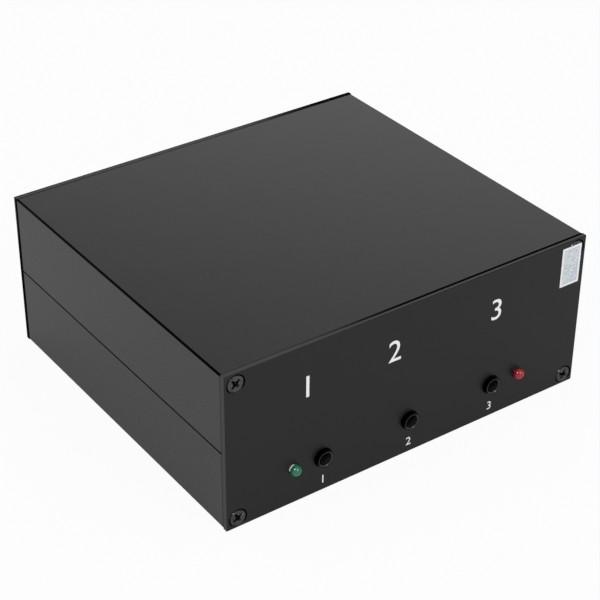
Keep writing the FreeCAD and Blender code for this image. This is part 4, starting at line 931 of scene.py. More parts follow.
TINNED = MetalFinish("tinned_copper", "c2c2c0", 0.3, tarnish="9a9a96", lay=Lay.UPRIGHT)
NICKEL = MetalFinish("nickel_plating", "c9c6bd", 0.2, tarnish="a39f93", lay=Lay.TURNED)
GOLD = MetalFinish("gold_plating", "dcae52", 0.2, tarnish="b98a38", lay=Lay.TURNED)
ZINC = MetalFinish("bright_zinc", "bfc1c2", 0.26, tarnish="96999b", lay=Lay.TURNED)
IRON = MetalFinish("soft_iron", "9b9c9c", 0.36, tarnish="74736f", lay=Lay.ALONG)
RELAY_BLUE = MouldedFinish("relay_cover_plastic", "16304f", 0.28, second="1c3a5d", coat=0.3)
SOLDER_MASK = BoardFinish("solder_mask", "0f4023", 0.3)
COPPER_WIRE = WindingFinish("enamelled_wire", "8c3f1c", 0.3)
LACQUER = BandedFinish("resistor_lacquer", "84a9bd", 0.35)
GREEN_RESIN = ResinFinish(
    "green_resin", "249a72", 0.06, deep="08523b", middle=(-35.7, 10.4), crescent=1.0
)
RED_RESIN = ResinFinish("red_resin", "e3122e", 0.06, deep="7a0416", middle=(34.7, 10.4))
WHITE_INK = InkFinish("white_ink", "f4f4f4", 0.55)
SEAL_FOIL = FoilFinish("seal_foil", "a9b3bb", 0.3)
SEAL_PAPER = InkFinish("seal_paper", "f2f4f6", 0.5)
SEAL_LINE = InkFinish("seal_line", "8f969d", 0.5)


class Bench:
    """Modelling steps that the sub-assemblies share, with lengths in millimetres."""

    @staticmethod
    def clear() -> None:
        """Leave edit mode and leave every object unselected."""
        if bpy.context.mode != "OBJECT":
            bpy.ops.object.mode_set(mode="OBJECT")
        bpy.ops.object.select_all(action="DESELECT")

    @staticmethod
    def hold(*pieces: bpy.types.Object) -> None:
        """Select only these pieces, the first one active."""
        Bench.clear()
        for piece in pieces:
            piece.select_set(True)
        bpy.context.view_layer.objects.active = pieces[0]

    @staticmethod
    def take(name: str) -> bpy.types.Object:
        """Name the object that an operator has just added and return it."""
        piece = bpy.context.view_layer.objects.active
        piece.name = name
        piece.data.name = name
        return piece

    @staticmethod
    @contextmanager
    def editing(piece: bpy.types.Object) -> Iterator[bmesh.types.BMesh]:
        """Open a piece in edit mode with nothing selected, and close it again."""
        Bench.hold(piece)
        bpy.ops.object.mode_set(mode="EDIT")
        bpy.ops.mesh.select_mode(type="FACE")
        bpy.ops.mesh.select_all(action="DESELECT")
        yield bmesh.from_edit_mesh(piece.data)
        bpy.ops.object.mode_set(mode="OBJECT")

    @staticmethod
    def pick_faces(
        mesh: bmesh.types.BMesh, wanted: Callable[[Vector, Vector], bool]
    ) -> None:
        """Select the faces whose centre and normal are wanted, in metres."""
        for face in mesh.faces:
            face.select_set(wanted(face.calc_center_median(), face.normal))
        mesh.select_flush_mode()

    @staticmethod
    def pick_edges(mesh: bmesh.types.BMesh, wanted: Callable[[bmesh.types.BMEdge], bool]) -> None:
        """Select the wanted edges, whose ends are in metres."""
        bpy.ops.mesh.select_mode(type="EDGE")
        for edge in mesh.edges:
            edge.select_set(wanted(edge))
        mesh.select_flush_mode()

    @staticmethod
    def runs_along(edge: bmesh.types.BMEdge) -> bool:
        """Tell whether an edge runs along Y."""
        first, second = (vertex.co for vertex in edge.verts)
        return abs(first.y - second.y) > edge.calc_length() * 0.9

    @staticmethod
    def settle(piece: bpy.types.Object) -> None:
        """Apply a piece's place, turn and scale, so that its object sits at the origin."""
        Bench.hold(piece)
        bpy.ops.object.transform_apply(location=True, rotation=True, scale=True)

    @staticmethod
    def modify(piece: bpy.types.Object, kind: str, **settings: object) -> None:
        """Add a modifier with these settings and apply it."""
        Bench.hold(piece)
        modifier = piece.modifiers.new(kind.lower(), kind)
        for name, value in settings.items():
            setattr(modifier, name, value)
        bpy.ops.object.modifier_apply(modifier=modifier.name)

    @staticmethod
    def block(name: str, middle: Triple | Vector, sides: Triple) -> bpy.types.Object:
        """Add a block by its middle and its sides."""
        scale = [side * MM for side in sides]
        bpy.ops.mesh.primitive_cube_add(size=1, location=Vector(middle) * MM, scale=scale)
        piece = Bench.take(name)
        Bench.settle(piece)
        return piece

    @staticmethod
    def cut(piece: bpy.types.Object, tool: bpy.types.Object) -> None:
        """Cut a tool's shape out of a piece and throw the tool away."""
        Bench.modify(piece, "BOOLEAN", operation="DIFFERENCE", object=tool, solver="EXACT")
        bpy.data.objects.remove(tool)

    @staticmethod
    def drill(
        piece: bpy.types.Object, radius: float, depth: float, middle: Vector, sides: int
    ) -> None:
        """Drill a hole along Y, by its radius, its depth and its middle."""
        bpy.ops.mesh.primitive_cylinder_add(
            vertices=sides,
            radius=radius * MM,
            depth=depth * MM,
            location=middle * MM,
            rotation=(math.pi / 2, 0, 0),
        )
        Bench.cut(piece, Bench.take("drill"))

    @staticmethod
    def join(name: str, pieces: list[bpy.types.Object]) -> bpy.types.Object:
        """Join pieces into one object."""
        Bench.hold(*pieces)
        bpy.ops.object.join()
        return Bench.take(name)

    @staticmethod
    def turned(
        name: str,
        steps: list[tuple[float, float]],
        centre: Triple,
        segments: int = 96,
    ) -> bpy.types.Object:
        """Turn a closed piece round a line along Y.

        Args:
            name: Name of the piece.
            steps: Radius and place along the line at each step, in millimetres. A run
                that comes back inside an earlier one makes a bore.
            centre: A point on the line, in millimetres.
            segments: Number of sides.

        Returns:
            The piece, with both ends closed.
        """
        radius, along = steps[0]
        middle = Vector(centre) * MM
        bpy.ops.mesh.primitive_circle_add(
            vertices=segments,
            radius=radius * MM,
            fill_type="NGON",
            location=(middle.x, along * MM, middle.z),
            rotation=(math.pi / 2, 0, 0),
        )
        piece = Bench.take(name)
        Bench.settle(piece)
        with Bench.editing(piece):
            bpy.ops.mesh.select_all(action="SELECT")
            for next_radius, next_along in steps[1:]:
                move = (0, (next_along - along) * MM, 0)
                bpy.ops.mesh.extrude_region_move(TRANSFORM_OT_translate={"value": move})
                ratio = next_radius / radius
                bpy.ops.transform.resize(
                    value=(ratio, 1, ratio),
                    center_override=(middle.x, next_along * MM, middle.z),
                )
                radius, along = next_radius, next_along
            bpy.ops.mesh.select_all(action="SELECT")
            bpy.ops.mesh.normals_make_consistent(inside=False)
        return piece

    @staticmethod
    def smooth(piece: bpy.types.Object, angle: float = 30.0) -> None:
        """Shade a piece smooth wherever its faces meet at less than an angle in degrees."""
        Bench.hold(piece)
        bpy.ops.object.shade_smooth_by_angle(angle=math.radians(angle))

    @staticmethod
    def finish(
        piece: bpy.types.Object, finish: Finish, slot: str, stands_for: tuple[str, ...] = ()
    ) -> None:
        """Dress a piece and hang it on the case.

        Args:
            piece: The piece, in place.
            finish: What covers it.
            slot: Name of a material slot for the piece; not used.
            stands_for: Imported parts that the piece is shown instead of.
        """
        Bench.settle(piece)
        if not piece.data.materials:
            piece.data.materials.append(finish.material())
        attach(piece, CASE_BODY)
        if stands_for:
            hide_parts(*stands_for)
        LOGGER.info("made %s with %d faces", piece.name, len(piece.data.polygons))
        Bench.clear()


def dress(finish: Finish, *names: str) -> None:
    """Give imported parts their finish, by the parts' names."""
    for name in names:
        mesh = bpy.data.objects[name].data
        if not mesh.materials:
            mesh.materials.append(None)
        for index in range(len(mesh.materials)):
            mesh.materials[index] = finish.material()
        LOGGER.info("dressed %s in %s", name, finish.name)


@dataclass
class Case:
    """The two extruded shells, the end panels, their screws and the board.

    Attributes:
        front_turns: Where the front panel's screws came to rest when they were
            tightened, in degrees: left low, left high, right low, right high.
        rear_turns: The same for the rear panel, from its own left.
    """

    front_turns: tuple[float, float, float, float] = (29, 43, 64, 10)
    rear_turns: tuple[float, float, float, float] = (71, 18, 37, 55)

    def build(self) -> None:
        """Dress the case and put its screws in."""
        dress(CASE, "lower_shell", "upper_shell")
        dress(PANEL, "front_panel", "rear_panel")
        dress(BLACK_OXIDE, "front_panel_screws", "rear_panel_screws")
        dress(SOLDER_MASK, "circuit_board")
        PanelScrews("front_panel", -1, self.front_turns).build()
        PanelScrews("rear_panel", 1, self.rear_turns).build()


@dataclass
class PanelScrews:
    """The four countersunk cross-head screws of one end panel.

    One screw is modelled round the Y axis with the panel's face at y = 0 and its tip
    towards +Y, and copied to the corners.

    Attributes:
        panel: The panel that they hold.
        outward: Which way the panel faces along the case, -1 or 1.
        turns: How far each one is turned, in degrees.
        across: Their middles from the middle of the case.
        levels: Their middles above the floor.
        head: Largest radius of the head.
        below: How far the head lies below the panel's face.
        rim: Rounding of the head's rim.
        dome: How far the head swells from its rim to its middle.
        core: Radius of the shank between the turns of the thread.
        point: Chamfer of the shank's end.
        fillet: Length of the shank's fillet under the head.
        major: Outside radius of the thread.
        pitch: Rise of the thread in one turn.
        length: Length of a screw.
        arm: Reach of the recess's arms at the face.
        arm_middle: Half width of an arm at the screw's axis.
        arm_end: Half width of an arm at its end.
        pit: Depth of the recess.
        pit_radii: Radii of its conical middle at the floor and at the face.
        lip: Depth below the face within which the recess's edges are bevelled.
        bevel: Width of that bevel.
        spare: How far a cutting tool stands out of the face.
    """

    panel: str
    outward: int
    turns: tuple[float, float, float, float]
    across: float = 51.8
    levels: tuple[float, float] = (2.8, 41.7)
    head: float = 2.2
    below: float = 0.03
    rim: float = 0.16
    dome: float = 0.05
    core: float = 1.15
    point: float = 0.35
    fillet: float = 0.4
    major: float = 1.44
    pitch: float = 0.5
    length: float = 7.9
    arm: float = 1.5
    arm_middle: float = 0.42
    arm_end: float = 0.26
    pit: float = 1.2
    pit_radii: tuple[float, float] = (0.3, 0.86)
    lip: float = 0.12
    bevel: float = 0.05
    spare: float = 0.2

    def build(self) -> None:
        """Model one screw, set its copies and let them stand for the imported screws."""
        low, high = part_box(self.panel)
        face = (high.y if self.outward > 0 else low.y) / MM
        pattern = Bench.join(f"{self.panel}_screw", [self._body(), self._thread()])
        spots = [(side * self.across, face, level) for side in (-1, 1) for level in self.levels]
        copies = [self._set(pattern, turn, spot) for spot, turn in zip(spots, self.turns)]
        bpy.data.objects.remove(pattern)
        screws = Bench.join(f"{self.panel}_screw_set", copies)
        Bench.smooth(screws, 25)
        Bench.finish(screws, BLACK_OXIDE, "screws", (f"{self.panel}_screws",))

    def _cone_end(self) -> float:
        """Return the depth at which the head's 90 degree cone meets the shank."""
        return self.below + self.head + math.sqrt(2) * self.rim - self.major

    def _body(self) -> bpy.types.Object:
        """Turn the head and the core, cut the cross recess and soften its mouth."""
        middle = self.head - self.rim
        neck = self._cone_end()
        steps = [(self.core - self.point, self.length), (self.core, self.length - self.point)]
        steps += [(self.core, neck + self.fillet), (self.major, neck)]
        for degrees in (-45, -15, 15, 45, 67, 90):
            angle = math.radians(degrees)
            radius = middle + self.rim * math.cos(angle)
            steps.append((radius, self.below + self.rim - self.rim * math.sin(angle)))
        for share in (0.8, 0.6, 0.4, 0.2):
            steps.append((middle * share, self.below - self.dome * (1 - share**2)))
        body = Bench.turned("screw_body", steps, (0, 0, 0), 64)
        for degrees in (0, 90):
            Bench.cut(body, self._arms(degrees))
        bpy.ops.mesh.primitive_cone_add(
            vertices=32,
            radius1=self.pit_radii[0] * MM,
            radius2=self.pit_radii[1] * MM,
            depth=(self.pit + self.spare * 2) * MM,
            location=(0, (self.pit - self.spare) / 2 * MM, 0),
            rotation=(math.pi / 2, 0, 0),
        )
        Bench.cut(body, Bench.take("pit"))
        with Bench.editing(body) as mesh:
            Bench.pick_edges(mesh, self._at_mouth)
            bpy.ops.mesh.bevel(offset=self.bevel * MM, segments=2, affect="EDGES")
        return body

    def _at_mouth(self, edge: bmesh.types.BMEdge) -> bool:
        """Tell whether an edge is a sharp one at the mouth of the recess."""
        shallow = all(abs(vertex.co.y) < self.lip * MM for vertex in edge.verts)
        return shallow and edge.calc_face_angle(0) > 0.9

    def _arms(self, degrees: float) -> bpy.types.Object:
        """Shape the tool of two opposite arms, narrower outwards and towards its floor."""
        floor = self.pit - 0.1
        middle, reach = 0.6, self.arm * 1.1
        bpy.ops.mesh.primitive_cube_add(
            size=1,
            location=(0, (floor - self.spare) / 2 * MM, 0),
            scale=(middle * MM, (floor + self.spare) * MM, self.arm_middle * 2 * MM),
        )
        tool = Bench.take("arms")
        Bench.settle(tool)
        for side in (-1, 1):
            with Bench.editing(tool) as mesh:
                Bench.pick_faces(mesh, lambda _, normal: normal.x * side > 0.9)
                move = (side * (reach - middle / 2) * MM, 0, 0)
                bpy.ops.mesh.extrude_region_move(TRANSFORM_OT_translate={"value": move})
                bpy.ops.transform.resize(
                    value=(1, 1, self.arm_end / self.arm_middle), center_override=(0, 0, 0)
                )
        with Bench.editing(tool) as mesh:
            Bench.pick_faces(mesh, lambda _, normal: normal.y > 0.9)
            bpy.ops.transform.resize(value=(0.45, 1, 0.7), center_override=(0, floor * MM, 0))
        tool.rotation_euler = (0, math.radians(degrees), 0)
        Bench.settle(tool)
        return tool

    def _thread(self) -> bpy.types.Object:
        """Wind the thread on the core."""
        start, end = self._cone_end() + self.fillet, self.length - 0.3
        thread = Thread(self.major, self.major - self.core, self.pitch, start, end, 24)
        return thread.build("screw_thread", (0, 0, 0))

    def _set(self, pattern: bpy.types.Object, turn: float, spot: Triple) -> bpy.types.Object:
        """Copy the screw, turn it on its axis and set it into the panel."""
        copy = pattern.copy()
        copy.data = pattern.data.copy()
        bpy.context.scene.collection.objects.link(copy)
        copy.rotation_euler = (0, math.radians(-turn), 0)
        Bench.settle(copy)
        copy.rotation_euler = (0, 0, math.pi if self.outward > 0 else 0)
        copy.location = Vector(spot) * MM
        Bench.settle(copy)
        return copy


@dataclass
class Numerals:
    """Plain numbers printed on the front panel: small ones under the jacks, large above.

    Attributes:
        small: Height of the small numbers.
        large: Height of the large numbers.
        small_level: Foot of the small numbers above the floor.
        large_level: Foot of the large numbers above the floor.
        large_places: Middles of the large numbers across the case.
        film: How far the ink stands off the panel.
    """

    small: float = 2.4
    large: float = 6.0
    small_level: float = 2.2
    large_level: float = 29.9
    large_places: tuple[float, ...] = (-31.8, -6.0, 26.1)
    film: float = 0.02

    def build(self) -> None:
        """Print the numbers."""
        for number, side in enumerate(Jack.SIDES, start=1):
            low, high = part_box(f"{side}_jack_housing")
            middle = (low.x + high.x) / 2 / MM
            self._print(f"{side}_jack_number", number, self.small, middle, self.small_level)
        for number, middle in enumerate(self.large_places, start=1):
            self._print(f"channel_number_{number}", number, self.large, middle, self.large_level)

    def _print(self, name: str, number: int, height: float, middle: float, level: float) -> None:
        """Print a number of this height on the panel, by its middle and its foot."""
        bpy.ops.object.text_add(location=(0, 0, 0))
        piece = Bench.take(name)
        piece.data.body = str(number)
        piece.data.align_x = "CENTER"
        piece.data.extrude = self.film
        piece.data.resolution_u = 8
        Bench.hold(piece)
        bpy.ops.object.convert(target="MESH")
        levels = [vertex.co.y for vertex in piece.data.vertices]
        scale = height * MM / (max(levels) - min(levels))
        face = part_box("front_panel")[0].y
        piece.scale = (scale, scale, MM)
        piece.rotation_euler = (math.pi / 2, 0, 0)
        piece.location = (middle * MM, face, level * MM - min(levels) * scale)
        Bench.finish(piece, WHITE_INK, "white_plastic")


@dataclass
class Seal:
    """Blank foil seal with a paper border at the upper right of the front panel.

    Attributes:
        left: Its left side across the case.
        right: Its right side.
        low: Its foot above the floor.
        high: Its head above the floor.
        border: Width of the paper border.
        line: Width of the grey line round the foil.
        corner: Rounding of its corners.
        thickness: Paper and foil together.
    """

    left: float = 47.2
    right: float = 53.5
    low: float = 31.5
    high: float = 42.9
    border: float = 0.6
    line: float = 0.14
    corner: float = 0.15
    thickness: float = 0.08

    def build(self) -> None:
        """Cut the seal, lay the foil into its border and round its corners."""
        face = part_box("front_panel")[0].y / MM
        middle = ((self.left + self.right) / 2, face - self.thickness / 2, (self.low + self.high) / 2)
        sides = (self.right - self.left, self.thickness, self.high - self.low)
        piece = Bench.block("seal", middle, sides)
        for finish in (SEAL_PAPER, SEAL_LINE, SEAL_FOIL):
            piece.data.materials.append(finish.material())
        with Bench.editing(piece) as mesh:
            Bench.pick_faces(mesh, lambda _, normal: normal.y < -0.9)
            for index, border in enumerate((self.border, self.line), start=1):
                bpy.ops.mesh.inset(thickness=border * MM, depth=0)
                piece.active_material_index = index
                bpy.ops.object.material_slot_assign()
            Bench.pick_edges(mesh, Bench.runs_along)
            bpy.ops.mesh.bevel(offset=self.corner * MM, segments=3, affect="EDGES")
        Bench.finish(piece, SEAL_PAPER, "white_plastic")


@dataclass
class Lamp:
    """A clear 3 mm lamp with its frame seen inside.

    Attributes:
        name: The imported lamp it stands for.
        resin: Its tinted epoxy.
        slot: Its material slot.
        radius: Radius of the clear body.
        flange: Length of the flange.
        chamfer: Chamfer of the flange's back edge; the front one is a little smaller.
        arc_steps: Steps of the dome from its foot to its tip.
        cup: Radius of the reflecting cup.
        cup_side: How far the cup stands to the right of the middle.
        seat: How far the cup's mouth lies behind the dome.
        inset: How far the frame ends inside the back of the lamp.
        post_side: How far the post stands to the left of the middle.
        post_bevel: Bevel of the post's edges.
    """

    name: str
    resin: Finish
    slot: str
    radius: float = 1.5
    flange: float = 1.0
    chamfer: float = 0.12
    arc_steps: int = 14
    cup: float = 0.55
    cup_side: float = 0.25
    seat: float = 0.35
    inset: float = 0.2
    post_side: float = 0.62
    post_bevel: float = 0.04

    def build(self) -> None:
        """Build the lens, the cup and the post."""
        low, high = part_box(self.name)
        centre = (low + high) / 2 / MM
        back, tip = high.y / MM, low.y / MM
        self._lens(centre, back, tip, (high.x - low.x) / 2 / MM)
        mouth = tip + self.radius + self.seat
        self._cup(centre, back - self.inset, mouth)
        self._post(centre, back - self.inset, mouth)

    def _lens(self, centre: Vector, back: float, tip: float, rim: float) -> None:
        """Turn the flange, the straight body and the dome."""
        shoulder = back - self.flange
        steps = [(rim - self.chamfer, back), (rim, back - self.chamfer)]
        steps += [(rim, shoulder + 0.1), (rim - 0.1, shoulder), (self.radius, shoulder)]
        dome = tip + self.radius
        for step in range(self.arc_steps):
            angle = math.pi / 2 * step / self.arc_steps
            steps.append((self.radius * math.cos(angle), dome - self.radius * math.sin(angle)))
        lens = Bench.turned(f"{self.name}_lens", steps, tuple(centre), 64)
        Bench.smooth(lens, 40)
        Bench.finish(lens, self.resin, self.slot, (self.name,))

    def _cup(self, centre: Vector, end: float, mouth: float) -> None:
        """Turn the reflecting cup on its stem."""
        stem = 0.2
        steps = [
            (stem, end),
            (stem, mouth + 0.9),
            (self.cup, mouth + 0.6),
            (self.cup, mouth),
            (self.cup - 0.1, mouth),
            (0.22, mouth + 0.35),
        ]
        middle = centre + Vector((self.cup_side, 0, 0))
        cup = Bench.turned(f"{self.name}_cup", steps, tuple(middle), 32)
        Bench.smooth(cup)
        Bench.finish(cup, SILVER, "silver_contact")

    def _post(self, centre: Vector, end: float, mouth: float) -> None:
        """Build the post beside the cup, its head drawn towards the cup."""
        foot = mouth + self.inset
        middle = (centre.x - self.post_side, (end + foot) / 2, centre.z)
        post = Bench.block(f"{self.name}_post", middle, (0.3, end - foot, 0.4))
        with Bench.editing(post) as mesh:
            Bench.pick_faces(mesh, lambda _, normal: normal.y < -0.9)
            move = (0.12 * MM, -0.25 * MM, 0)
            bpy.ops.mesh.extrude_region_move(TRANSFORM_OT_translate={"value": move})
            bpy.ops.mesh.select_all(action="SELECT")
            bpy.ops.mesh.bevel(offset=self.post_bevel * MM, segments=2, affect="EDGES")
        Bench.finish(post, SILVER, "silver_contact")


@dataclass
class Jack:
    """A 3.5 mm jack: moulded housing and contact springs."""

    SIDES = ("left", "centre", "right")
    side: str

    def build(self) -> None:
        """Dress the jack."""
        dress(NOSE_BLACK, f"{self.side}_jack_housing")
        dress(BRONZE, f"{self.side}_jack_tip_spring", f"{self.side}_jack_ring_spring")


@dataclass
class Thread:
    """A helical ridge round a line along Y.

    Attributes:
        major: Outside radius.
        depth: Height of the ridge.
        pitch: Rise in one turn.
        start: Place where it starts.
        end: Place where it ends.
        steps: Sides in one turn.
        sunk: How far its foot is sunk into the core.
        foot: Half width of its foot, as a share of the pitch.
        crest: Half width of its crest, as a share of the pitch.
    """

    major: float
    depth: float
    pitch: float
    start: float
    end: float
    steps: int = 48
    sunk: float = 0.05
    foot: float = 0.46
    crest: float = 0.08

    def build(self, name: str, centre: Triple) -> bpy.types.Object:
        """Wind the ridge by the screw modifier.

        Args:
            name: Name of the ridge.
            centre: A point on the line, in millimetres.

        Returns:
            The ridge, closed at both ends.
        """
        turns = (self.end - self.start) / self.pitch - 1
        root = self.major - self.depth - self.sunk
        foot, crest = self.pitch * self.foot, self.pitch * self.crest
        outline = [(root, -foot), (self.major, -crest), (self.major, crest), (root, foot)]
        bpy.ops.mesh.primitive_plane_add(size=1, location=(0, 0, 0))
        ridge = Bench.take(name)
        with Bench.editing(ridge):
            bpy.ops.mesh.delete(type="ONLY_FACE")
        with Bench.editing(ridge) as mesh:
            for vertex, (radius, along) in zip(self._ordered(mesh), outline):
                vertex.co = Vector((radius, along + self.start + self.pitch / 2, 0)) * MM
            bmesh.update_edit_mesh(ridge.data)
        Bench.modify(
            ridge,
            "SCREW",
            axis="Y",
            angle=math.tau * turns,
            screw_offset=self.pitch * turns * MM,
            iterations=1,
            steps=round(self.steps * turns),
            render_steps=round(self.steps * turns),
            use_smooth_shade=False,
            use_merge_vertices=False,
        )
        with Bench.editing(ridge):
            bpy.ops.mesh.select_all(action="SELECT")
            bpy.ops.mesh.fill_holes(sides=8)
            bpy.ops.mesh.select_all(action="SELECT")
            bpy.ops.mesh.normals_make_consistent(inside=False)
        ridge.location = Vector((centre[0], 0, centre[2])) * MM
        Bench.settle(ridge)
        return ridge

    @staticmethod
    def _ordered(mesh: bmesh.types.BMesh) -> list[bmesh.types.BMVert]:
        """Give the corners of a closed outline in the order of its edges."""
        mesh.verts.ensure_lookup_table()
        first = mesh.verts[0]
        ring, edge = [first], first.link_edges[0]
        while len(ring) < len(mesh.verts):
            following = edge.other_vert(ring[-1])
            ring.append(following)
            edge = next(e for e in following.link_edges if e is not edge)
        return ring


@dataclass
class CoaxSocket:
    """A panel socket with a square flange and a five-eighths inch threaded barrel.

    Attributes:
        name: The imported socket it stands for.
        flange: Thickness of the flange.
        corner: Bevel of the flange's corners.
        spacing: Spacing of the flange holes.
        hole: Radius of the flange holes.
        bore: Inside of the barrel.
        floor: Floor of the barrel from the panel.
        neck: Radius of the neck.
        neck_bore: Bore of the neck.
        collar: How far a collar stands round the neck, inside the flange.
        major: Outside radius of the thread.
        depth: Depth of the thread.
        pitch: Rise of the thread in one turn.
        chamfer: Chamfer of the barrel's rim.
        notch: Width and depth of the locating notches in the rim.
    """

    name: str
    flange: float = 2.0
    corner: float = 2.0
    spacing: float = 18.2
    hole: float = 1.6
    bore: float = 6.4
    floor: float = 3.5
    neck: float = 5.6
    neck_bore: float = 4.2
    collar: float = 0.8
    major: float = 7.9375
    depth: float = 0.6
    pitch: float = 25.4 / 24
    chamfer: float = 0.35
    notch: tuple[float, float] = (1.6, 0.9)

    def build(self) -> None:
        """Build the flange and the barrel, cut the notches and wind the thread."""
        low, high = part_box(self.name)
        centre = (low + high) / 2 / MM
        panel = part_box("rear_panel")[1].y / MM
        rim = high.y / MM
        flange = self._flange(centre, panel, (high.x - low.x) / MM)
        barrel = self._barrel(centre, low.y / MM, panel, rim)
        start, end = panel + self.flange + 0.3, rim - self.chamfer
        thread = Thread(self.major, self.depth, self.pitch, start, end)
        ridge = thread.build(f"{self.name}_thread", tuple(centre))
        self._notch(ridge, centre, rim)
        body = Bench.join(f"{self.name}_body", [barrel, flange, ridge])
        Bench.smooth(body, 35)
        Bench.finish(body, NICKEL, "nickel", (self.name,))

    def _flange(self, centre: Vector, panel: float, side: float) -> bpy.types.Object:
        """Cut the square flange with bevelled corners, soft edges and its holes."""
        middle = Vector((centre.x, panel + self.flange / 2, centre.z))
        plate = Bench.block(f"{self.name}_flange", middle, (side, self.flange, side))
        with Bench.editing(plate) as mesh:
            Bench.pick_edges(mesh, Bench.runs_along)
            bpy.ops.mesh.bevel(offset=self.corner * MM, segments=1, affect="EDGES")
        depth, half = self.flange * 3, self.spacing / 2
        for across, up in ((-half, -half), (half, -half), (-half, half), (half, half)):
            spot = Vector((centre.x + across, middle.y, centre.z + up))
            Bench.drill(plate, self.hole, depth, spot, 48)
        Bench.drill(plate, self.neck + 0.6, depth, middle, 64)
        sharp = math.radians(50)
        Bench.modify(
            plate, "BEVEL", width=0.15 * MM, segments=2, limit_method="ANGLE", angle_limit=sharp
        )
        return plate

    def _barrel(self, centre: Vector, back: float, panel: float, rim: float) -> bpy.types.Object:
        """Turn the neck and the barrel with its bore, and cut the notches."""
        root = self.major - self.depth
        collar = self.neck + self.collar
        face = panel + self.flange
        steps = [
            (self.neck_bore, back),
            (self.neck, back),
            (self.neck, panel + 0.2),
            (collar, panel + 0.2),
            (collar, face - 0.2),
            (root, face - 0.2),
            (root, rim - self.chamfer),
            (root - self.chamfer, rim),
            (self.bore + 0.15, rim),
            (self.bore, rim - 0.15),
            (self.bore, panel + self.floor),
            (self.neck_bore, panel + self.floor),
            (self.neck_bore, back),
        ]
        barrel = Bench.turned(f"{self.name}_barrel", steps, tuple(centre))
        cap = Vector((centre.x, back, centre.z)) * MM
        with Bench.editing(barrel) as mesh:
            Bench.pick_faces(mesh, lambda at, _: (at - cap).length < 0.001 * MM)
            bpy.ops.mesh.delete(type="ONLY_FACE")
            bpy.ops.mesh.select_all(action="SELECT")
            bpy.ops.mesh.remove_doubles(threshold=0.0001 * MM)
            bpy.ops.mesh.normals_make_consistent(inside=False)
        self._notch(barrel, centre, rim)
        return barrel

    def _notch(self, piece: bpy.types.Object, centre: Vector, rim: float) -> None:
        """Cut the locating notches through the rim, across and upright."""
        width, depth = self.notch
        reach = 20.0
        for across, up in ((reach, width), (width, reach)):
            bpy.ops.mesh.primitive_cube_add(
                size=1,
                location=Vector((centre.x, rim, centre.z)) * MM,
                scale=(across * MM, depth * 2 * MM, up * MM),
            )
            Bench.cut(piece, Bench.take("notch"))


class Sockets:
    """Everything on the rear panel."""

    def build(self) -> None:
        """Build the large sockets and dress the rest."""
        for name in ("antenna_socket", "transceiver_socket"):
            CoaxSocket(name).build()
            dress(NICKEL, name)
        dress(WHITE_PLASTIC, "socket_insulators", "receiver_socket_insulator")
        dress(SILVER, "socket_contacts", "keying_socket_contact", "power_socket_pin")
        dress(TINNED, "socket_leads")
        dress(ZINC, "socket_screws", "socket_nuts")
        dress(GOLD, "receiver_socket", "receiver_socket_contact", "receiver_socket_nut_and_washer")
        dress(GLOSS_BLACK, "keying_socket_housing", "power_socket_housing")
        dress(NICKEL, "keying_socket_sleeve")
        dress(BRONZE, "power_socket_spring")


@dataclass
class Relay:
    """A sealed relay on the board."""

    name: str

    def build(self) -> None:
        """Dress the relay's nine parts."""
        finishes = {
            "base": MATT_BLACK,
            "yoke": IRON,
            "core": IRON,
            "bobbin": WHITE_PLASTIC,
            "coil": COPPER_WIRE,
            "armature": IRON,
            "contact_blade": BRONZE,
            "fixed_contacts": SILVER,
            "cover": RELAY_BLUE,
        }
        for part, finish in finishes.items():
            dress(finish, f"{self.name}_relay_{part}")


@dataclass
class BoardParts:
    """Small parts soldered to the board.

    Attributes:
        regulator_leg: Legs of the voltage regulator, up from the board.
        regulator_body: Height of its moulded body, above which its tab is bare.
        transistor_leg: Legs of the driver transistors, up from the board.
        can_end: Depth of the bare end of a capacitor's can.
    """

    regulator_leg: float = 4.0
    regulator_body: float = 9.0
    transistor_leg: float = 2.0
    can_end: float = 0.06

    def build(self) -> None:
        """Dress the small parts."""
        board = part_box("circuit_board")[1].z / MM
        body = board + self.regulator_leg
        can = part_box("smoothing_capacitors")[1].z / MM - self.can_end
        sleeve = LeadedFinish("capacitor_sleeve", "1a1b2b", 0.3, second="23243a", coat=0.2, top=can)
        black = {"colour": "141414", "roughness": 0.5, "second": "222222"}
        regulator = LeadedFinish(
            "regulator_body", legs=body, top=body + self.regulator_body, **black
        )
        transistor = LeadedFinish("transistor_body", legs=board + self.transistor_leg, **black)
        dress(sleeve, "smoothing_capacitors")
        dress(regulator, "voltage_regulator")
        dress(transistor, "driver_transistors")
        dress(LACQUER, "resistors")
        dress(BRONZE, "jack_break_contacts")
        dress(SILVER, "jack_sleeve_contacts")
        dress(TINNED, "lamp_leads")
        dress(GREEN_RESIN, "green_lamp")
        dress(RED_RESIN, "red_lamp")


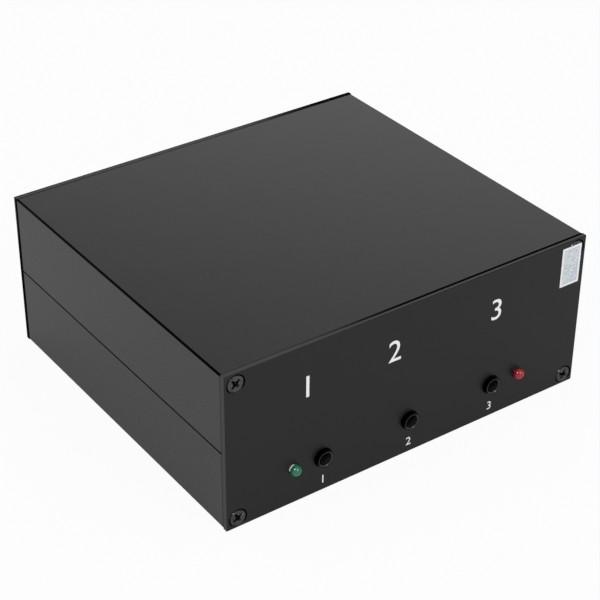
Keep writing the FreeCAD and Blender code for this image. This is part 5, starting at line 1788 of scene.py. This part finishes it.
@dataclass
class Studio:
    """White floor and background, soft light, and the camera.

    Attributes:
        place: Where the camera stands, in millimetres.
        azimuth: Direction it looks in, from +Y towards -X, in degrees.
        elevation: How far it looks down, in degrees.
        roll: How far its right side is raised, in degrees.
        lens: Focal length.
        shift: Share of the picture by which its centre is shifted across.
        ambient: Strength of the room's light on plain surfaces.
        glow: Share of the floor that stays white under the object's shadow.
        sheen: The same share where the floor is mirrored in the object.
        dim: Strength of the mirrored room away from its bright side.
        bright: Direction of that bright side, level.
        spread: How near to that direction the brightening begins and is full, as cosines.
        front: Direction of the pale front wall, level.
        front_spread: The same cosines for the front wall.
        floor_size: Side of the floor.
        key_lamp: Place of the main soft lamp, its side and its power in watts.
        fill_lamp: The same for the second one.
    """

    place: Triple = (-224.08, -315.64, 267.26)
    azimuth: float = -34.423
    elevation: float = 32.718
    roll: float = -0.229
    lens: float = 103.497
    shift: float = 0.05
    ambient: float = 0.85
    glow: float = 0.94
    sheen: float = 0.16
    dim: float = 0.36
    bright: tuple[float, float] = (0.7, 0.714)
    spread: tuple[float, float] = (0.78, 0.92)
    front: tuple[float, float] = (-0.2, -0.98)
    front_spread: tuple[float, float] = (0.95, 0.99)
    floor_size: float = 6000.0
    key_lamp: tuple[Triple, float, float] = ((-420, -330, 520), 160, 1.2)
    fill_lamp: tuple[Triple, float, float] = ((120, -620, 380), 260, 0.8)

    def build(self) -> None:
        """Set the scene."""
        bpy.context.scene.view_settings.view_transform = "Standard"
        self._camera()
        self._world()
        self._floor()
        self._softbox("key_light", *self.key_lamp)
        self._softbox("fill_light", *self.fill_lamp)

    def _camera(self) -> None:
        """Place the camera."""
        data = bpy.data.cameras.new("camera")
        camera = bpy.data.objects.new("camera", data)
        bpy.context.scene.collection.objects.link(camera)
        azimuth, elevation = math.radians(self.azimuth), math.radians(self.elevation)
        ahead = Vector(
            (
                -math.sin(azimuth) * math.cos(elevation),
                math.cos(azimuth) * math.cos(elevation),
                -math.sin(elevation),
            )
        )
        level = ahead.cross(Vector((0, 0, 1))).normalized()
        upright = level.cross(ahead)
        roll = math.radians(self.roll)
        right = level * math.cos(roll) + upright * math.sin(roll)
        top = upright * math.cos(roll) - level * math.sin(roll)
        turn = Matrix((right, top, -ahead)).transposed().to_4x4()
        camera.matrix_world = Matrix.Translation(Vector(self.place) * MM) @ turn
        data.lens = self.lens
        data.sensor_width = 36.0
        data.shift_x = self.shift
        data.clip_start = 0.01
        data.clip_end = 20
        bpy.context.scene.camera = camera

    def _world(self) -> None:
        """Make the room white where it is seen, brighter on one side where it is mirrored."""
        world = bpy.data.worlds.new("room")
        bpy.context.scene.world = world
        graph = Graph(world)
        seen, mirrored = graph.sight()
        source = graph.node("ShaderNodeTexCoord").outputs["Generated"]
        parted = graph.node("ShaderNodeSeparateXYZ", None, {"Vector": source})
        across, along = (Signal(graph, socket) for socket in parted.outputs[:2])
        facing = across * self.bright[0] + along * self.bright[1]
        front = across * self.front[0] + along * self.front[1]
        pale = facing.over(*self.spread).most(front.over(*self.front_spread))
        card = pale * (1 - self.dim) + self.dim
        plain = 1 - seen.most(mirrored)
        strength = seen + mirrored * card + plain * self.ambient
        shader = graph.node(
            "ShaderNodeBackground", None, {"Color": (1, 1, 1, 1), "Strength": strength}
        )
        graph.finish(shader, "ShaderNodeOutputWorld")

    def _floor(self) -> None:
        """Lay the floor, white where it is seen, with a trace of the object's shadow."""
        bpy.ops.mesh.primitive_plane_add(size=self.floor_size * MM, location=(0, 0, -0.05 * MM))
        floor = Bench.take("floor")
        Bench.settle(floor)
        material = bpy.data.materials.new("floor_paper")
        graph = Graph(material)
        seen, mirrored = graph.sight()
        tone = graph.blend(mirrored, paint("d0d0d0"), paint("b8b8b8"))
        paper = graph.node("ShaderNodeBsdfDiffuse", None, {"Color": tone})
        glow = graph.node("ShaderNodeEmission", None, {"Color": (1, 1, 1, 1), "Strength": 1.0})
        share = seen * self.glow + mirrored * self.sheen
        mixed = graph.node(
            "ShaderNodeMixShader", None, {0: share, 1: paper.outputs[0], 2: glow.outputs[0]}
        )
        graph.finish(mixed)
        floor.data.materials.append(material)

    def _softbox(self, name: str, place: Triple, side: float, power: float) -> None:
        """Hang a square soft lamp that faces the object.

        Args:
            name: Name of the lamp.
            place: Its middle, in millimetres.
            side: Its side, in millimetres.
            power: Its power in watts.
        """
        data = bpy.data.lights.new(name, "AREA")
        data.size = side * MM
        data.energy = power
        lamp = bpy.data.objects.new(name, data)
        bpy.context.scene.collection.objects.link(lamp)
        lamp.location = Vector(place) * MM
        lamp.rotation_euler = (-Vector(place)).to_track_quat("-Z", "Y").to_euler()
        lamp.visible_camera = False


def main() -> None:
    """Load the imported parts, dress them and set the studio."""
    logging.basicConfig(level=logging.INFO, format="%(name)s: %(message)s")
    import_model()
    Studio().build()
    Case().build()
    Numerals().build()
    Seal().build()
    Lamp("green_lamp", GREEN_RESIN, "green_lens").build()
    Lamp("red_lamp", RED_RESIN, "red_lens").build()
    for side in Jack.SIDES:
        Jack(side).build()
    Sockets().build()
    for name in ("antenna", "audio"):
        Relay(name).build()
    BoardParts().build()


if __name__ == "__main__":
    main()
